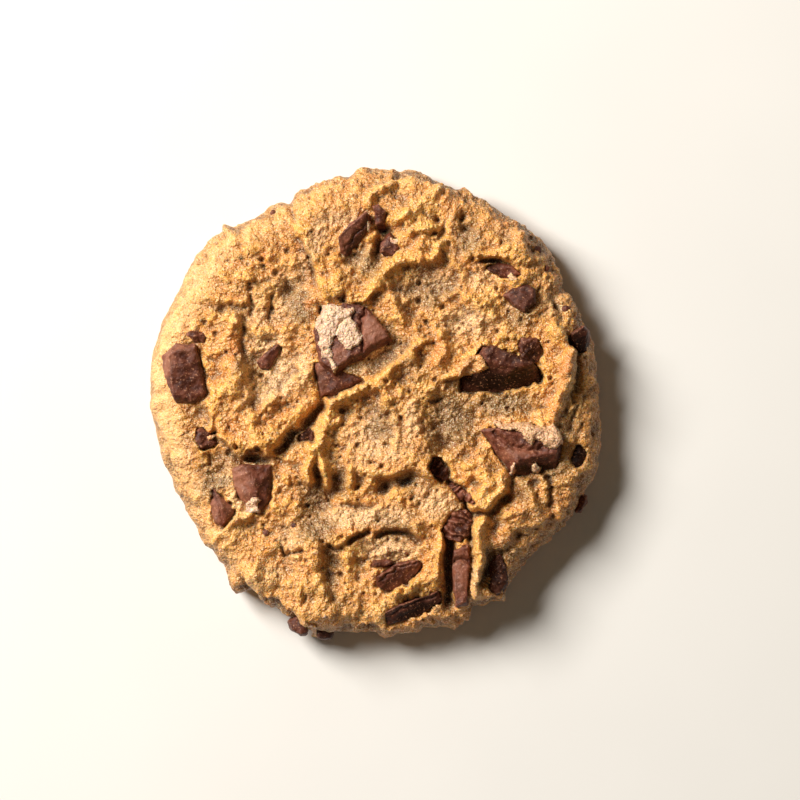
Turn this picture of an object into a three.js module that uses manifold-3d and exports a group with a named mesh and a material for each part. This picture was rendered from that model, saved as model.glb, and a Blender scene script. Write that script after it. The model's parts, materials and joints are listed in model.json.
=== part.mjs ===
// A thick chocolate chip cookie, about 90 mm across, with craggy torn dough and chunks of chocolate.
// Lengths are in millimetres and angles in degrees. +Z is up, the underside lies on z = 0, and the
// origin is below the middle of the cookie.
import * as THREE from "three";
import { mergeVertices } from "three/addons/utils/BufferGeometryUtils.js";
import { ConvexGeometry } from "three/addons/geometries/ConvexGeometry.js";
import Module from "manifold-3d";

// Driving sizes of the round
const EDGE_HEIGHT = 12.2; // the smooth top where the shoulder starts
const CROWN = 1.2; // how much higher the smooth top is in the middle
const WAIST = 5.0; // height of the widest level
const SHOULDER = 7.5; // width of the rounded edge, seen from above
const UNDERCUT = 2.4; // how far the foot lies inside the widest level
const SHOULDER_POWER = 0.85; // under 1 makes the edge squarer than an ellipse

// Radius of the widest level at every 15 degrees, from +X towards +Y
const RADII = [
  45.1, 45.3, 45.2, 46.7, 46.2, 46.6, 47.3, 45.6, 44.5, 46.3, 45.5, 45.6,
  45.0, 43.8, 43.4, 44.4, 45.2, 46.0, 45.8, 46.4, 46.2, 44.0, 45.2, 46.2,
];
// Tips and notches of the edge: angle, half width in degrees, and how far it stands out
const TIPS = [
  { angle: 31.6, spread: 1.6, out: -1.2 },
  { angle: 80, spread: 3, out: 0.7 },
  { angle: 83.8, spread: 1, out: -0.7 },
  { angle: 96.5, spread: 1.5, out: -0.6 },
  { angle: 112.8, spread: 1.3, out: -1.3 },
  { angle: 130.2, spread: 1.1, out: 1.6 },
  { angle: 222, spread: 2, out: -0.6 },
  { angle: 232.5, spread: 3, out: 2.3 },
  { angle: 236.8, spread: 1.4, out: -0.9 },
  { angle: 273, spread: 2.4, out: 0.9 },
  { angle: 290, spread: 2.6, out: 1.1 },
  { angle: 296, spread: 2, out: -1.0 },
  { angle: 303.6, spread: 1.8, out: 1.3 },
];

// Crest lines of the torn dough. A crest falls away over the widths left and right of its path, so
// a small width is a cliff and a large one a slab.
const CRESTS = [
  // long crest across the middle
  { rise: 2.64, left: 1.5, right: 0.8,
    path: [[10.1, 12.2], [7.3, 10.2], [4.7, 8.2], [2.5, 6.4], [0.3, 5], [-2.1, 3.2], [-4.9, 2.2],
           [-7.3, 1.6], [-9.5, 1]] },
  // hooked crest above the middle
  { rise: 2.16, left: 1.2, right: 2,
    path: [[13.1, 31.6], [11.7, 29.4], [8.7, 28.6], [5.7, 28.4], [3.3, 27.4], [1.5, 25.6], [2.7, 23.2],
           [4.1, 20.6], [5.3, 17.6]] },
  // crest at the top edge
  { rise: 1.8, left: 0.7, right: 0.9, path: [[-1.7, 40.4], [-0.7, 41.6], [0.9, 42.6], [3.1, 44]] },
  // crest right of the top chunks
  { rise: 1.68, left: 1.4, right: 0.9,
    path: [[2.3, 36.4], [4.9, 37.2], [7.3, 38.4], [9.5, 40], [12.3, 42.2]] },
  // crest under it
  { rise: 1.44, left: 1, right: 1.1, path: [[4.1, 32.6], [6.1, 33.6], [8.1, 34.6], [11.5, 35.6]] },
  // left edge of the upper slab
  { rise: 1.92, left: 6.5, right: 0.45,
    path: [[-14.9, 33.2], [-13.9, 30.4], [-12.7, 27.6], [-11.3, 25], [-10.1, 22.4], [-9.3, 20.4]] },
  // lower edge of the upper slab
  { rise: 1.8, left: 4.5, right: 0.5,
    path: [[-9.7, 20.8], [-7.3, 21.4], [-4.5, 20.6], [-2.5, 20.8], [-0.1, 22.6]] },
  // left crest
  { rise: 2.28, left: 1.5, right: 2.8,
    path: [[-28.3, 15.8], [-28.7, 13.6], [-28.1, 11.2], [-27.3, 8.8], [-26.9, 6]] },
  // left crest, its lower run
  { rise: 1.44, left: 1.3, right: 2.4, path: [[-26.9, 6], [-26.1, 2.4], [-25.5, -0.8], [-24.9, -3.2]] },
  // outer edge of the left slab
  { rise: 2.28, left: 4.5, right: 0.45,
    path: [[-33.3, 0], [-32.3, -2.2], [-32.1, -4.2], [-33.7, -6.6], [-31.5, -6.4], [-29.3, -7.4],
           [-27.7, -9.6], [-26.3, -11.4], [-25.5, -9], [-23.7, -8.4], [-21.3, -9.8], [-18.9, -10.4]] },
  // rim of the left bowl
  { rise: 1.8, left: 1.6, right: 0.7,
    path: [[-13.3, 6], [-15.7, 4.6], [-17.5, 2.4], [-19.7, 0.8], [-22.1, -1], [-23.9, -2.6]] },
  // forked flap, right prong
  { rise: 1.8, left: 1.4, right: 0.9,
    path: [[-8.7, 0], [-9.7, -3.2], [-10.3, -6.4], [-10.9, -9.2], [-10.3, -12.4], [-9.3, -16]] },
  // forked flap, left prong
  { rise: 1.56, left: 1, right: 1.2,
    path: [[-11.3, -8], [-12.7, -10.8], [-13.5, -13.2], [-13.3, -15.2]] },
  // short upright crest
  { rise: 1.44, left: 0.9, right: 1.1, path: [[-5.3, -9.6], [-4.7, -13.6], [-4.7, -18]] },
  // lip above the lower bowl
  { rise: 1.32, left: 3.4, right: 0.3,
    path: [[-9.7, -27.4], [-7.9, -28.4], [-5.9, -27.4], [-4.3, -26.2], [-1.7, -25.6], [0.7, -25.6],
           [4.3, -25], [8.3, -25.8]] },
  // crescent round the lower bowl
  { rise: 1.8, left: 1.8, right: 1.1,
    path: [[8.7, -25.4], [10.5, -28.2], [11.3, -30.8], [10.7, -33.6], [8.3, -36], [5.9, -37.6],
           [4.1, -38.4]] },
  // edge left of the upright bar
  { rise: 1.56, left: 0.4, right: 1.6, path: [[13.7, -26.8], [13.9, -30.4], [13.7, -33.6]] },
  // strip between the lower chunks
  { rise: 3.12, left: 1, right: 0.9,
    path: [[21.9, -22.6], [20.9, -25.2], [20.7, -28.2], [21.3, -30.4], [20.7, -33.2], [20.1, -35.6],
           [19.7, -38]] },
  // right prong's tip
  { rise: 1.56, left: 1, right: 0.8, path: [[-10.5, -11.2], [-9.9, -13.6], [-9.3, -15.6]] },
  // left prong's tip
  { rise: 1.56, left: 0.8, right: 0.8, path: [[-13.1, -12], [-13.7, -14.6]] },
  // long crest on the right
  { rise: 2.76, left: 1.2, right: 1.3,
    path: [[35.5, 14.8], [37.3, 12.4], [38.5, 9.8], [38.5, 6.4], [37.5, 3.2], [36.3, 0.4], [35.5, -2.4]] },
  // lip above the right slit
  { rise: 1.68, left: 3.2, right: 0.35, path: [[20.9, 28.6], [24.9, 29.4], [29.7, 28.6]] },
  // flap over the right bar
  { rise: 2.16, left: 2.8, right: 0.35, path: [[14.3, 4.8], [17.5, 5.4], [20.1, 6], [22.5, 7.4]] },
  // right edge of the middle slab
  { rise: 1.44, left: 1.9, right: 8,
    path: [[9.3, 1.2], [8.7, -2.2], [9.5, -6.2], [10.3, -9.6], [10.7, -12.4], [9.7, -14.2]] },
  // lower edge of the middle slab
  { rise: 1.32, left: 0.6, right: 5,
    path: [[9.9, -14.2], [7.5, -14], [5.1, -13.4], [2.9, -14.6], [0.1, -14.2]] },
  // ridge on the middle slab
  { rise: 0.96, left: 1.4, right: 0.6,
    path: [[1.1, 4], [1.7, 1.2], [1.3, -0.8], [3.5, -2.4], [4.3, -5.2], [3.9, -8.4]] },
  // step at the lower left
  { rise: 1.8, left: 1.3, right: 3.4,
    path: [[-12.7, -26.6], [-11.7, -29.2], [-11.5, -32.2], [-11.1, -34.8], [-9.7, -37.6], [-8.5, -40]] },
  // ragged edge of the lower left rim
  { rise: 2.16, left: 4.5, right: 0.45,
    path: [[-24.5, -35.6], [-22.5, -37.2], [-19.9, -38], [-17.3, -39.4], [-15.3, -41.6], [-12.9, -44]] },
  // fold at the upper left
  { rise: 0.6, left: 3, right: 0.45,
    path: [[-30.5, 25.2], [-27.7, 25], [-24.5, 25], [-21.7, 25.2], [-19.7, 26.6]] },
  // small ridge in the upper left basin
  { rise: 0.6, left: 1.2, right: 1.2, path: [[-22.5, 22.4], [-21.9, 20.2], [-22.3, 17.2]] },
  // ridge at the foot of the left bowl
  { rise: 0.96, left: 1, right: 1, path: [[-24.9, 15.4], [-22.5, 14.2], [-19.9, 14.4]] },
  // curled lump on the right
  { rise: 2.52, left: 1.4, right: 1.1, path: [[21.9, -13.6], [22.7, -16], [21.5, -18.4], [20.1, -20]] },
  // curled lump, its lower bend
  { rise: 2.16, left: 1.2, right: 1.2,
    path: [[20.1, -20], [22.7, -20.4], [24.7, -18.8], [25.9, -16.8], [25.5, -14.4]] },
  // upright ridge at the lower right
  { rise: 1.2, left: 0.8, right: 0.8, path: [[30.5, -16], [31.5, -18.8], [32.5, -21.6]] },
  // second upright ridge there
  { rise: 1.2, left: 0.7, right: 0.9, path: [[33.7, -15.6], [34.1, -19.2]] },
  // ridge at the lower left
  { rise: 1.32, left: 0.8, right: 1.2,
    path: [[-31.3, -27.4], [-29.5, -25.2], [-27.3, -23.2], [-24.9, -22.6]] },
  // ridge under the top bar
  { rise: 1.2, left: 0.8, right: 0.8, path: [[-7.7, 29.2], [-5.5, 27.8], [-3.5, 27.2], [-1.7, 26]] },
  // knob beside the top bar
  { rise: 1.92, left: 0.9, right: 0.9, path: [[-0.5, 33.2], [-0.7, 31.2], [-1.3, 28.8]] },
  // ridge right of the upper hollow
  { rise: 1.08, left: 1.2, right: 0.9, path: [[16.1, 28.4], [17.5, 26], [17.1, 23.2], [15.1, 21.2]] },
  // ridge below the upper hollow
  { rise: 1.08, left: 0.9, right: 1.4, path: [[6.7, 20.8], [9.1, 21.6], [11.5, 20.8], [13.1, 19.2]] },
  // ridge left of the right bar
  { rise: 1.08, left: 0.9, right: 1.1, path: [[12.7, 14.8], [14.3, 12.8], [14.5, 10.4], [13.1, 8]] },
  // lumpy ridge above the right bar
  { rise: 1.08, left: 1, right: 1.2, path: [[19.1, 20.8], [21.5, 18.8], [24.5, 17.2], [26.1, 14.8]] },
];
// Cracks and gaps
const FURROWS = [
  // crack beside the upper slab
  { depth: 1.4, width: 0.4, path: [[-15.1, 33.2], [-14.1, 30.4], [-13.1, 28], [-12.1, 25.6]] },
  // crevice left of the middle
  { depth: 3.6, width: 1.3,
    path: [[-10.1, 0.4], [-12.3, -2.4], [-14.3, -4.8], [-16.9, -6.8], [-19.3, -9.2]] },
  // slit above the lower bowl
  { depth: 1.8, width: 0.45, path: [[-8.9, -28.4], [-7.5, -29], [-6.3, -28.6]] },
  // slit, its middle
  { depth: 2.2, width: 0.55, path: [[-4.7, -27.2], [-3.3, -26], [-1.3, -25.6]] },
  // slit, its right half
  { depth: 2.8, width: 0.6,
    path: [[0.5, -26.6], [2.7, -25.4], [5.5, -25.4], [7.5, -26], [9.1, -27.4]] },
  // gap left of the upright bar
  { depth: 6, width: 1.15,
    path: [[14.9, -27.6], [15.1, -31.2], [14.9, -35.2], [14.9, -39.2], [15.3, -40.6]] },
  // channel through the melt
  { depth: 3.2, width: 0.8,
    path: [[14.5, -15.2], [16.7, -17.4], [18.5, -19.2], [19.1, -21.6], [18.7, -24.4], [19.3, -26.8]] },
  // gap beside the lower stub
  { depth: 2.4, width: 0.7, path: [[22.9, -30.4], [22.5, -33.2], [21.7, -35.8]] },
  // right crack
  { depth: 1.6, width: 0.45, path: [[35.1, -14.4], [34.9, -17.6], [34.7, -20.8], [35.7, -22.8]] },
  // lower left crack
  { depth: 1.1, width: 0.35, path: [[-19.3, -27.8], [-17.5, -30.2], [-14.5, -29.6]] },
  // lowest left crack
  { depth: 0.9, width: 0.3, path: [[-22.9, -33], [-20.5, -33.4], [-18.7, -33]] },
  // crease by the right edge
  { depth: 1.8, width: 0.55, path: [[40.5, 9], [40.9, 6.8], [40.9, 2.8]] },
  // slit above the right chip
  { depth: 2, width: 0.5, path: [[21.3, 28.4], [24.1, 28.2], [28.5, 27.8]] },
  // shade under the left slab
  { depth: 2.2, width: 0.8, path: [[-26.3, -12.2], [-23.9, -11.4], [-21.3, -11.6]] },
  // shade beside the left crest
  { depth: 1, width: 0.7, path: [[-26.1, 14.8], [-26.3, 11.8], [-26.1, 8.4]] },
  // groove in the upper left basin
  { depth: 1.1, width: 0.45, path: [[-25.3, 24], [-24.9, 21.2], [-24.5, 18]] },
  // second groove in the basin
  { depth: 0.8, width: 0.4, path: [[-19.9, 22.4], [-20.3, 19.6], [-20.9, 16.4]] },
  // crack by the lower rim
  { depth: 1, width: 0.35, path: [[-17.1, -37.8], [-15.5, -38.8], [-13.7, -39.2]] },
  // crack on the middle slab
  { depth: 0.9, width: 0.25, path: [[9.7, 1.2], [11.9, 0.6], [13.7, 1]] },
  // crack at the crest's end
  { depth: 0.9, width: 0.25, path: [[8.7, 12.4], [10.3, 11.4], [11.9, 12.2]] },
  // cut between the orange lumps
  { depth: 1.8, width: 0.8,
    path: [[18.9, -22], [21.1, -21.6], [22.9, -22], [24.5, -20.8], [26.3, -18.8]] },
  // cut right of the curled lump
  { depth: 1.3, width: 0.8, path: [[27.3, -14.2], [26.9, -17], [25.9, -19]] },
  // furrow in the slab above the bowl
  { depth: 0.7, width: 0.5, path: [[-8.9, -20.8], [-5.7, -20.4], [-2.5, -20.8], [-0.1, -20.2]] },
  // furrow at the far right
  { depth: 0.9, width: 0.5, path: [[39.3, 2.4], [39.9, -1.6], [39.3, -5.2]] },
  // furrow under the top crest
  { depth: 0.8, width: 0.5, path: [[0.7, 40.8], [2.7, 42.2], [4.7, 43.4]] },
  // furrow between the upper crests
  { depth: 1, width: 0.6, path: [[12.3, 32.8], [13.5, 34.4], [13.7, 36.8]] },
];
// Lumps, and with a negative rise hollows, as ovals with half axes in size
const MOUNDS = [
  { rise: -1.7, size: [6.8, 3.6], turn: 10, at: [10.1, 23.6] }, // upper hollow
  { rise: -1.7, size: [6.4, 6], turn: 20, at: [-20.3, 7.6] }, // left bowl
  { rise: -1.3, size: [7.2, 4.4], turn: 40, at: [-18.5, 20.8] }, // upper left basin
  { rise: -1.8, size: [7.6, 4], turn: 20, at: [1.9, -31.6] }, // lower bowl
  { rise: -1.7, size: [2.6, 5.6], turn: 0, at: [-8.5, -34] }, // hollow right of the step
  { rise: -3.2, size: [3.2, 2.8], turn: 0, at: [-10.9, -19] }, // hollow under the forked flap
  { rise: -1.4, size: [0.7, 1.8], turn: 0, at: [-11.7, -14] }, // notch between its prongs
  { rise: -1.6, size: [2.8, 1.6], turn: 35, at: [-17.7, -9] }, // low ground below the crevice
  { rise: -1.6, size: [0.8, 1.6], turn: 0, at: [-2.9, -15.2] }, // reddish pit
  { rise: -1.8, size: [2.2, 4], turn: 0, at: [-6.9, -14.6] }, // hollow right of the flap
  { rise: -0.9, size: [4, 1.8], turn: 0, at: [-4.5, -1.6] }, // hollow on the middle slab
  { rise: -1.9, size: [3, 2.2], turn: 0, at: [1.9, 31.6] }, // hollow under the top chunks
  { rise: -1.4, size: [3.2, 1.6], turn: 30, at: [-3.7, 29.2] }, // hollow under the top bar
  { rise: -3, size: [1.2, 0.9], turn: 0, at: [1.9, 34.8] }, // black pit between the top chunks
  { rise: -1.8, size: [0.8, 1.8], turn: 0, at: [0.7, 29.6] }, // pit under the knob
  { rise: -2, size: [1.2, 0.8], turn: 35, at: [-30.7, 18.8] }, // pit by the left crest
  { rise: -1, size: [2.8, 1], turn: 0, at: [-27.7, 19.4] }, // shallow run below the pit
  { rise: -1.7, size: [1.6, 1.4], turn: 30, at: [-16.9, 22.8] }, // dark dimple
  { rise: -1.3, size: [1, 0.6], turn: 0, at: [-19.7, 26.4] }, // dark dimple under the fold
  { rise: -2.4, size: [0.7, 0.7], turn: 0, at: [-10.7, 18.6] }, // pit at the centre block
  { rise: -2.6, size: [0.8, 0.9], turn: 0, at: [-6.3, 21] }, // second pit at the centre block
  { rise: -3, size: [0.9, 1.2], turn: 10, at: [-33.3, 2.2] }, // pit beside the left block
  { rise: -2, size: [0.7, 0.8], turn: 0, at: [12.3, 37] }, // pit in the crust
  { rise: -2, size: [0.8, 1], turn: 0, at: [17.9, 37.8] }, // second pit in the crust
  { rise: -2.2, size: [1, 0.8], turn: 0, at: [18.5, 35] }, // third pit in the crust
  { rise: -3.2, size: [1.8, 1.3], turn: 0, at: [1.7, -16.8] }, // pit under the middle slab
  { rise: -4.6, size: [2.5, 1.3], turn: 5, at: [6.3, -15.6] }, // second pit under the middle slab
  { rise: -1.6, size: [1.6, 1.4], turn: 0, at: [14.7, -8.6] }, // pit right of the middle slab
  { rise: -1.4, size: [1, 1], turn: 0, at: [2.5, -2.4] }, // pit on the middle slab
  { rise: -1.4, size: [2.8, 5.2], turn: 0, at: [12.7, -4.8] }, // valley right of the middle
  { rise: -1.3, size: [4, 2.4], turn: 20, at: [-30.5, -11.6] }, // low ground at the left
  { rise: -0.8, size: [1.8, 3.2], turn: 0, at: [-35.5, -2.8] }, // low ground beside the melt
  { rise: -1.2, size: [4.8, 1.8], turn: 25, at: [0.7, 8.8] }, // hollow under the centre block
  { rise: 1, size: [2.4, 2], turn: 0, at: [14.9, 40.2] }, // crust lump
  { rise: 1.1, size: [1.2, 2.4], turn: -10, at: [15.5, 35.2] }, // second crust lump
  { rise: 1, size: [2.4, 1.6], turn: -20, at: [25.1, 36.4] }, // lump beside the round one
  { rise: 1.8, size: [1.6, 1.6], turn: 0, at: [29.5, 33] }, // round lump at the upper right
  { rise: -1.6, size: [1.2, 0.8], turn: 0, at: [31.7, 30.6] }, // dark dip right of it
  { rise: 0.8, size: [2.2, 1], turn: -20, at: [27.5, 24.6] }, // lump below the right chip
  { rise: 1.1, size: [2.2, 1.8], turn: 0, at: [39.1, 21.4] }, // lobe at the right edge
  { rise: -1.8, size: [1, 1.4], turn: 30, at: [36.7, 20] }, // dip inside the lobe
  { rise: 1.6, size: [1.8, 1.8], turn: 0, at: [24.5, -16] }, // orange lump
  { rise: 1.2, size: [1.6, 2.8], turn: 0, at: [21.9, -26.8] }, // clump in the strip
  { rise: 2.1, size: [2.4, 1.8], turn: -20, at: [28.1, -21.6] }, // third orange lump
  { rise: 1.9, size: [1.8, 2], turn: 0, at: [25.7, -27] }, // fourth orange lump
  { rise: -1.3, size: [1.6, 1.6], turn: 0, at: [29.1, -26.2] }, // dip right of the orange lumps
  { rise: 0.9, size: [2.2, 1.6], turn: 30, at: [30.7, -24.6] }, // lump at the lower right
  { rise: 2, size: [3.4, 1.4], turn: -8, at: [33.3, -5.6] }, // dough on the right block
  { rise: 1.3, size: [1.8, 1.4], turn: 0, at: [27.1, -2.8] }, // dough left of it
  { rise: 1.6, size: [2.2, 1.6], turn: 10, at: [22.7, -38] }, // lump at the lower edge
  { rise: 0.7, size: [4.4, 6], turn: 0, at: [-30.5, 3.8] }, // left shoulder of dough
  { rise: 0.8, size: [5.2, 2.8], turn: 30, at: [-22.5, -5.2] }, // swelling between the bowls
  { rise: 0.9, size: [1.4, 1.2], turn: 0, at: [-23.5, -10] }, // ball under the left slab
  { rise: 1, size: [1.6, 1], turn: 0, at: [-8.1, 0.8] }, // tongue tip of the long crest
  { rise: 1.3, size: [1.6, 1], turn: 20, at: [-12.7, 20.4] }, // lump by the centre block
  { rise: 1.1, size: [3.6, 2], turn: 25, at: [8.7, 31.6] }, // lump between the upper crests
  { rise: 1, size: [2, 1.8], turn: 0, at: [-12.5, -8.8] }, // lump at the fork
  { rise: 1, size: [2.6, 2], turn: 0, at: [-4.5, -37.6] }, // lump at the lower middle
  { rise: 1, size: [2.4, 2.4], turn: 0, at: [12.3, 9.6] }, // lump at the middle's right
  { rise: 1, size: [2.2, 1.8], turn: 0, at: [12.5, 3.2] }, // second lump there
  { rise: 1.2, size: [2.2, 2], turn: 0, at: [19.1, -12.4] }, // lump left of the melt
  { rise: 1, size: [2.8, 1.4], turn: 0, at: [-4.9, -41.6] }, // lump at the bottom
  { rise: -1.3, size: [5.2, 6], turn: 0, at: [17.7, -2.4] }, // low ground right of the middle slab
  { rise: -2, size: [2.6, 1], turn: 0, at: [-24.5, -11] }, // gap above the lower left block
  { rise: 0.7, size: [2.4, 1.6], turn: 30, at: [4.3, 26] }, // rise beside the hooked crest
  { rise: 0.7, size: [3.6, 2.4], turn: 20, at: [9.9, 37.6] }, // rise at the upper right crest
  { rise: -0.9, size: [1.8, 1.2], turn: 0, at: [-8.9, -40.6] }, // dip at the bottom
  { rise: 0.7, size: [2.4, 1.8], turn: 0, at: [-22.5, -34.6] }, // lump above the lower rim
  { rise: 0.8, size: [1.2, 1.2], turn: 0, at: [-21.5, 20.4] }, // knob in the upper left basin
  { rise: 0.7, size: [1, 1.4], turn: 0, at: [-27.7, 16.4] }, // pebble in the upper left basin
];

// Chunks of chocolate with clear corners. The corners of the face are x, y and, where one lies off
// the level of top, its height from there. The foot is the face moved by flare and grown a little.
const BLOCKS = [
  { name: "centre_block", top: 15.3, depth: 6.5, flare: [1.2, -2.2],
    face: [[-6.1, 20.2, -0.6], [-1.9, 19.6, -0.4], [0.3, 17.2, 0], [2.9, 13.4, 0.1], [-2.5, 10.6, 0.5],
           [-6.3, 8, 0.5], [-8.3, 6.4, 0.2], [-11.1, 8.4, -0.5], [-12.3, 14.6, -0.8],
           [-10.3, 18.4, -0.8]] },
  { name: "centre_low", top: 13.3, depth: 4, flare: [0.2, -0.4],
    face: [[-12.1, 8.4], [-8.9, 8.4], [-5.3, 6.4], [-2.5, 4.8, -0.4], [-6.7, 2.6, -0.4], [-10.7, 1.4]] },
  { name: "left_block", top: 14.3, depth: 6, flare: [0.5, -0.5],
    face: [[-41.3, 10], [-39.3, 11.2, -0.1], [-35.7, 11.8, -0.3], [-34.3, 6.8, -1.1],
           [-33.7, 2.4, -1.3], [-35.5, 0.4, -1.2], [-40.1, 1, -0.4], [-42.5, 9.6, -1.4],
           [-39.7, 12.1, -1.1], [-41.9, 6, -1.4], [-39.7, 0.2, -1.5]] },
  { name: "top_bar", top: 15, depth: 5.2, flare: [0.6, -0.8],
    face: [[-7.3, 33.4], [-5.3, 35.6], [-3.3, 37.2], [-1.5, 38.5], [-0.7, 35.4, -1.4],
           [-3.3, 32.2, -1.6], [-5.7, 29.8, -1.5], [-6.9, 30.4, -1]] },
  { name: "top_block", top: 14.8, depth: 4.8, flare: [0.5, -0.8],
    face: [[-0.5, 39.5], [0.7, 39.8], [2.3, 38.4], [1.7, 36, -0.8], [0.3, 35.5, -0.8]] },
  { name: "lower_left_block", top: 14, depth: 5.8, flare: [0.3, -0.6],
    face: [[-28.7, -13, -0.7], [-26.3, -12, 0.5], [-20.7, -12.2, -0.7], [-20.5, -16.4, -0.8],
           [-21.3, -19.6, -0.9], [-22.9, -22, -0.8], [-23.3, -18, 0.6], [-27.7, -18, -0.9]] },
  { name: "lower_left_small", top: 12.8, depth: 4.5, flare: [0.2, -0.3],
    face: [[-32.3, -16.6], [-30.3, -20.4, 0.9], [-28.1, -20.8, -0.2], [-28.7, -22.6, -0.3],
           [-30.3, -24.4, -0.2], [-31.9, -24, -0.6], [-32.9, -20.2, -0.6]] },
  { name: "upper_right_block", top: 14.2, depth: 4.6, flare: [0.3, -0.7],
    face: [[25.7, 21.8, -0.5], [27.5, 23.2, -0.3], [30.3, 24, -0.2], [31.9, 23], [32.1, 20.2],
           [29.7, 18.4, 0.4], [27.7, 19.8, 0.2]] },
  { name: "right_bar", top: 15.4, depth: 8.6, flare: [0, -0.2],
    face: [[21.7, 11.4, -0.1], [23.3, 11.8], [31.5, 8.2], [28.5, 7.2, -0.1], [22.3, 8.8, -0.1],
           [17.1, 5.2, -4.2], [17.3, 2.6, -5], [25.1, 2.4, -5], [33.3, 4.6, -4.6], [33.3, 6.2, -3.4]] },
  { name: "right_edge", top: 12.2, depth: 4.6, flare: [0.2, -0.3],
    face: [[39.1, 14.2], [41.7, 15.6, 0.1], [42.7, 14.6, -0.6], [42.3, 10.6, -2.2], [40.5, 10.2, -2],
           [39.1, 12.2, -1.6]] },
  { name: "lower_right_block", top: 14.9, depth: 6, flare: [0.2, -0.3],
    face: [[23.7, -4.8, 0.1], [31.1, -4.2], [37.7, -6.6, -0.1], [36.7, -9.6, 0.1], [28.3, -11.6, 0.4],
           [21.3, -5.2, -1.2], [27.1, -13.6, -1.5], [35.9, -12.8, -2.8], [29.9, -14.2, -2.8]] },
  { name: "upright_bar", top: 14, depth: 5.5, flare: [0.4, -0.2],
    face: [[15.7, -29.2, 0.2], [18.7, -28, 0.2], [19.1, -31.2], [18.5, -39.8, -0.2],
           [16.3, -40.4, -0.4], [15.5, -34.2, -0.3]] },
  { name: "lower_lens", top: 13.4, depth: 4, flare: [0, -0.2],
    face: [[0.3, -34.4], [4.7, -31.8], [8.9, -31], [9.5, -32.6, -0.8], [6.5, -35.8, -1.4],
           [2.3, -37.6, -1.5], [0.5, -36, -0.6]] },
  { name: "left_shard", top: 12.5, depth: 3, flare: [0.1, -0.2],
    face: [[-23.5, 8.4, -0.3], [-22.1, 9.8], [-19.3, 12], [-18.5, 11.4, -0.4], [-19.9, 9, -0.5],
           [-21.3, 6.6, -0.5], [-22.5, 6.8, -0.5]] },
  { name: "right_melt", top: 13.2, depth: 3.6, flare: [0.2, -0.3],
    face: [[29.3, 13.2], [32.7, 13, -0.2], [33.5, 10.8, -1], [32.9, 8.4, -1.2], [31.1, 7.8, -0.9],
           [29.3, 9.4], [28.9, 11.4]] },
  { name: "bottom_bar", top: 13.2, depth: 4.8, flare: [0.2, -0.3],
    face: [[1.9, -41.6, -0.4], [5.1, -40], [12.5, -37.4], [13.3, -39.2, -1.2], [9.1, -42.2, -2],
           [2.7, -44.2, -2.4]] },
];
// Smaller chips of rounded outline, length by width
const CHIPS = [
  { name: "hollow_chip", top: 12.8, depth: 3.6, size: [5, 3.6], turn: 80, at: [2.9, 31.6] },
  { name: "left_chip", top: 13.6, depth: 3, size: [3.6, 2], turn: -20, at: [-35.8, 13.6] },
  { name: "left_melt", top: 12.5, depth: 3.2, size: [4.8, 4], turn: -30, at: [-33.7, -7.2] },
  { name: "crevice_chip", top: 11.4, depth: 2.8, size: [3.2, 2.8], turn: 20, at: [-13.5, -6.4] },
  { name: "upper_right_chip", top: 12.1, depth: 3.2, size: [7, 2.8], turn: -14, at: [25.7, 26.6] },
  { name: "edge_oval", top: 10.8, depth: 3.4, size: [4.6, 2.8], turn: 75, at: [40.8, -10.5] },
  { name: "melt_upper", top: 12.2, depth: 3.2, size: [5, 3.6], turn: -50, at: [13.1, -13.2] },
  { name: "melt_trail", top: 12.2, depth: 3, size: [6, 2.4], turn: -38, at: [17.5, -17.8] },
  { name: "melt_crinkled", top: 12.8, depth: 3.6, size: [6.8, 5.2], turn: 60, at: [16.7, -24.4] },
  { name: "lower_stub", top: 12.2, depth: 4, size: [8.4, 4], turn: 85, at: [24.7, -34.2] },
  { name: "lens_rim", top: 13, depth: 2.6, size: [4, 1.4], turn: 10, at: [1.5, -31.8] },
  { name: "edge_chip", top: 8.2, depth: 4, size: [4.6, 3.6], turn: -60, at: [-15.1, -44.2] },
  { name: "edge_low", top: 7, depth: 3.4, size: [3.8, 2.4], turn: -10, at: [-10.1, -46] },
  { name: "edge_sliver", top: 6.2, depth: 3, size: [4, 1.8], turn: 70, at: [41.5, -20] },
];
// Specks of chocolate baked into the surface
const SPECKS = [
  { radius: 0.8, at: [-21.8, -25.8, 13] },
  { radius: 0.6, at: [-15.9, -24.3, 13] },
  { radius: 0.7, at: [34.3, 27.2, 13.2] },
  { radius: 0.9, at: [32.5, 30.8, 12.6] },
  { radius: 0.8, at: [38.3, 19, 11.6] },
  { radius: 0.6, at: [-20.3, 38.2, 12.8] },
];

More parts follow.
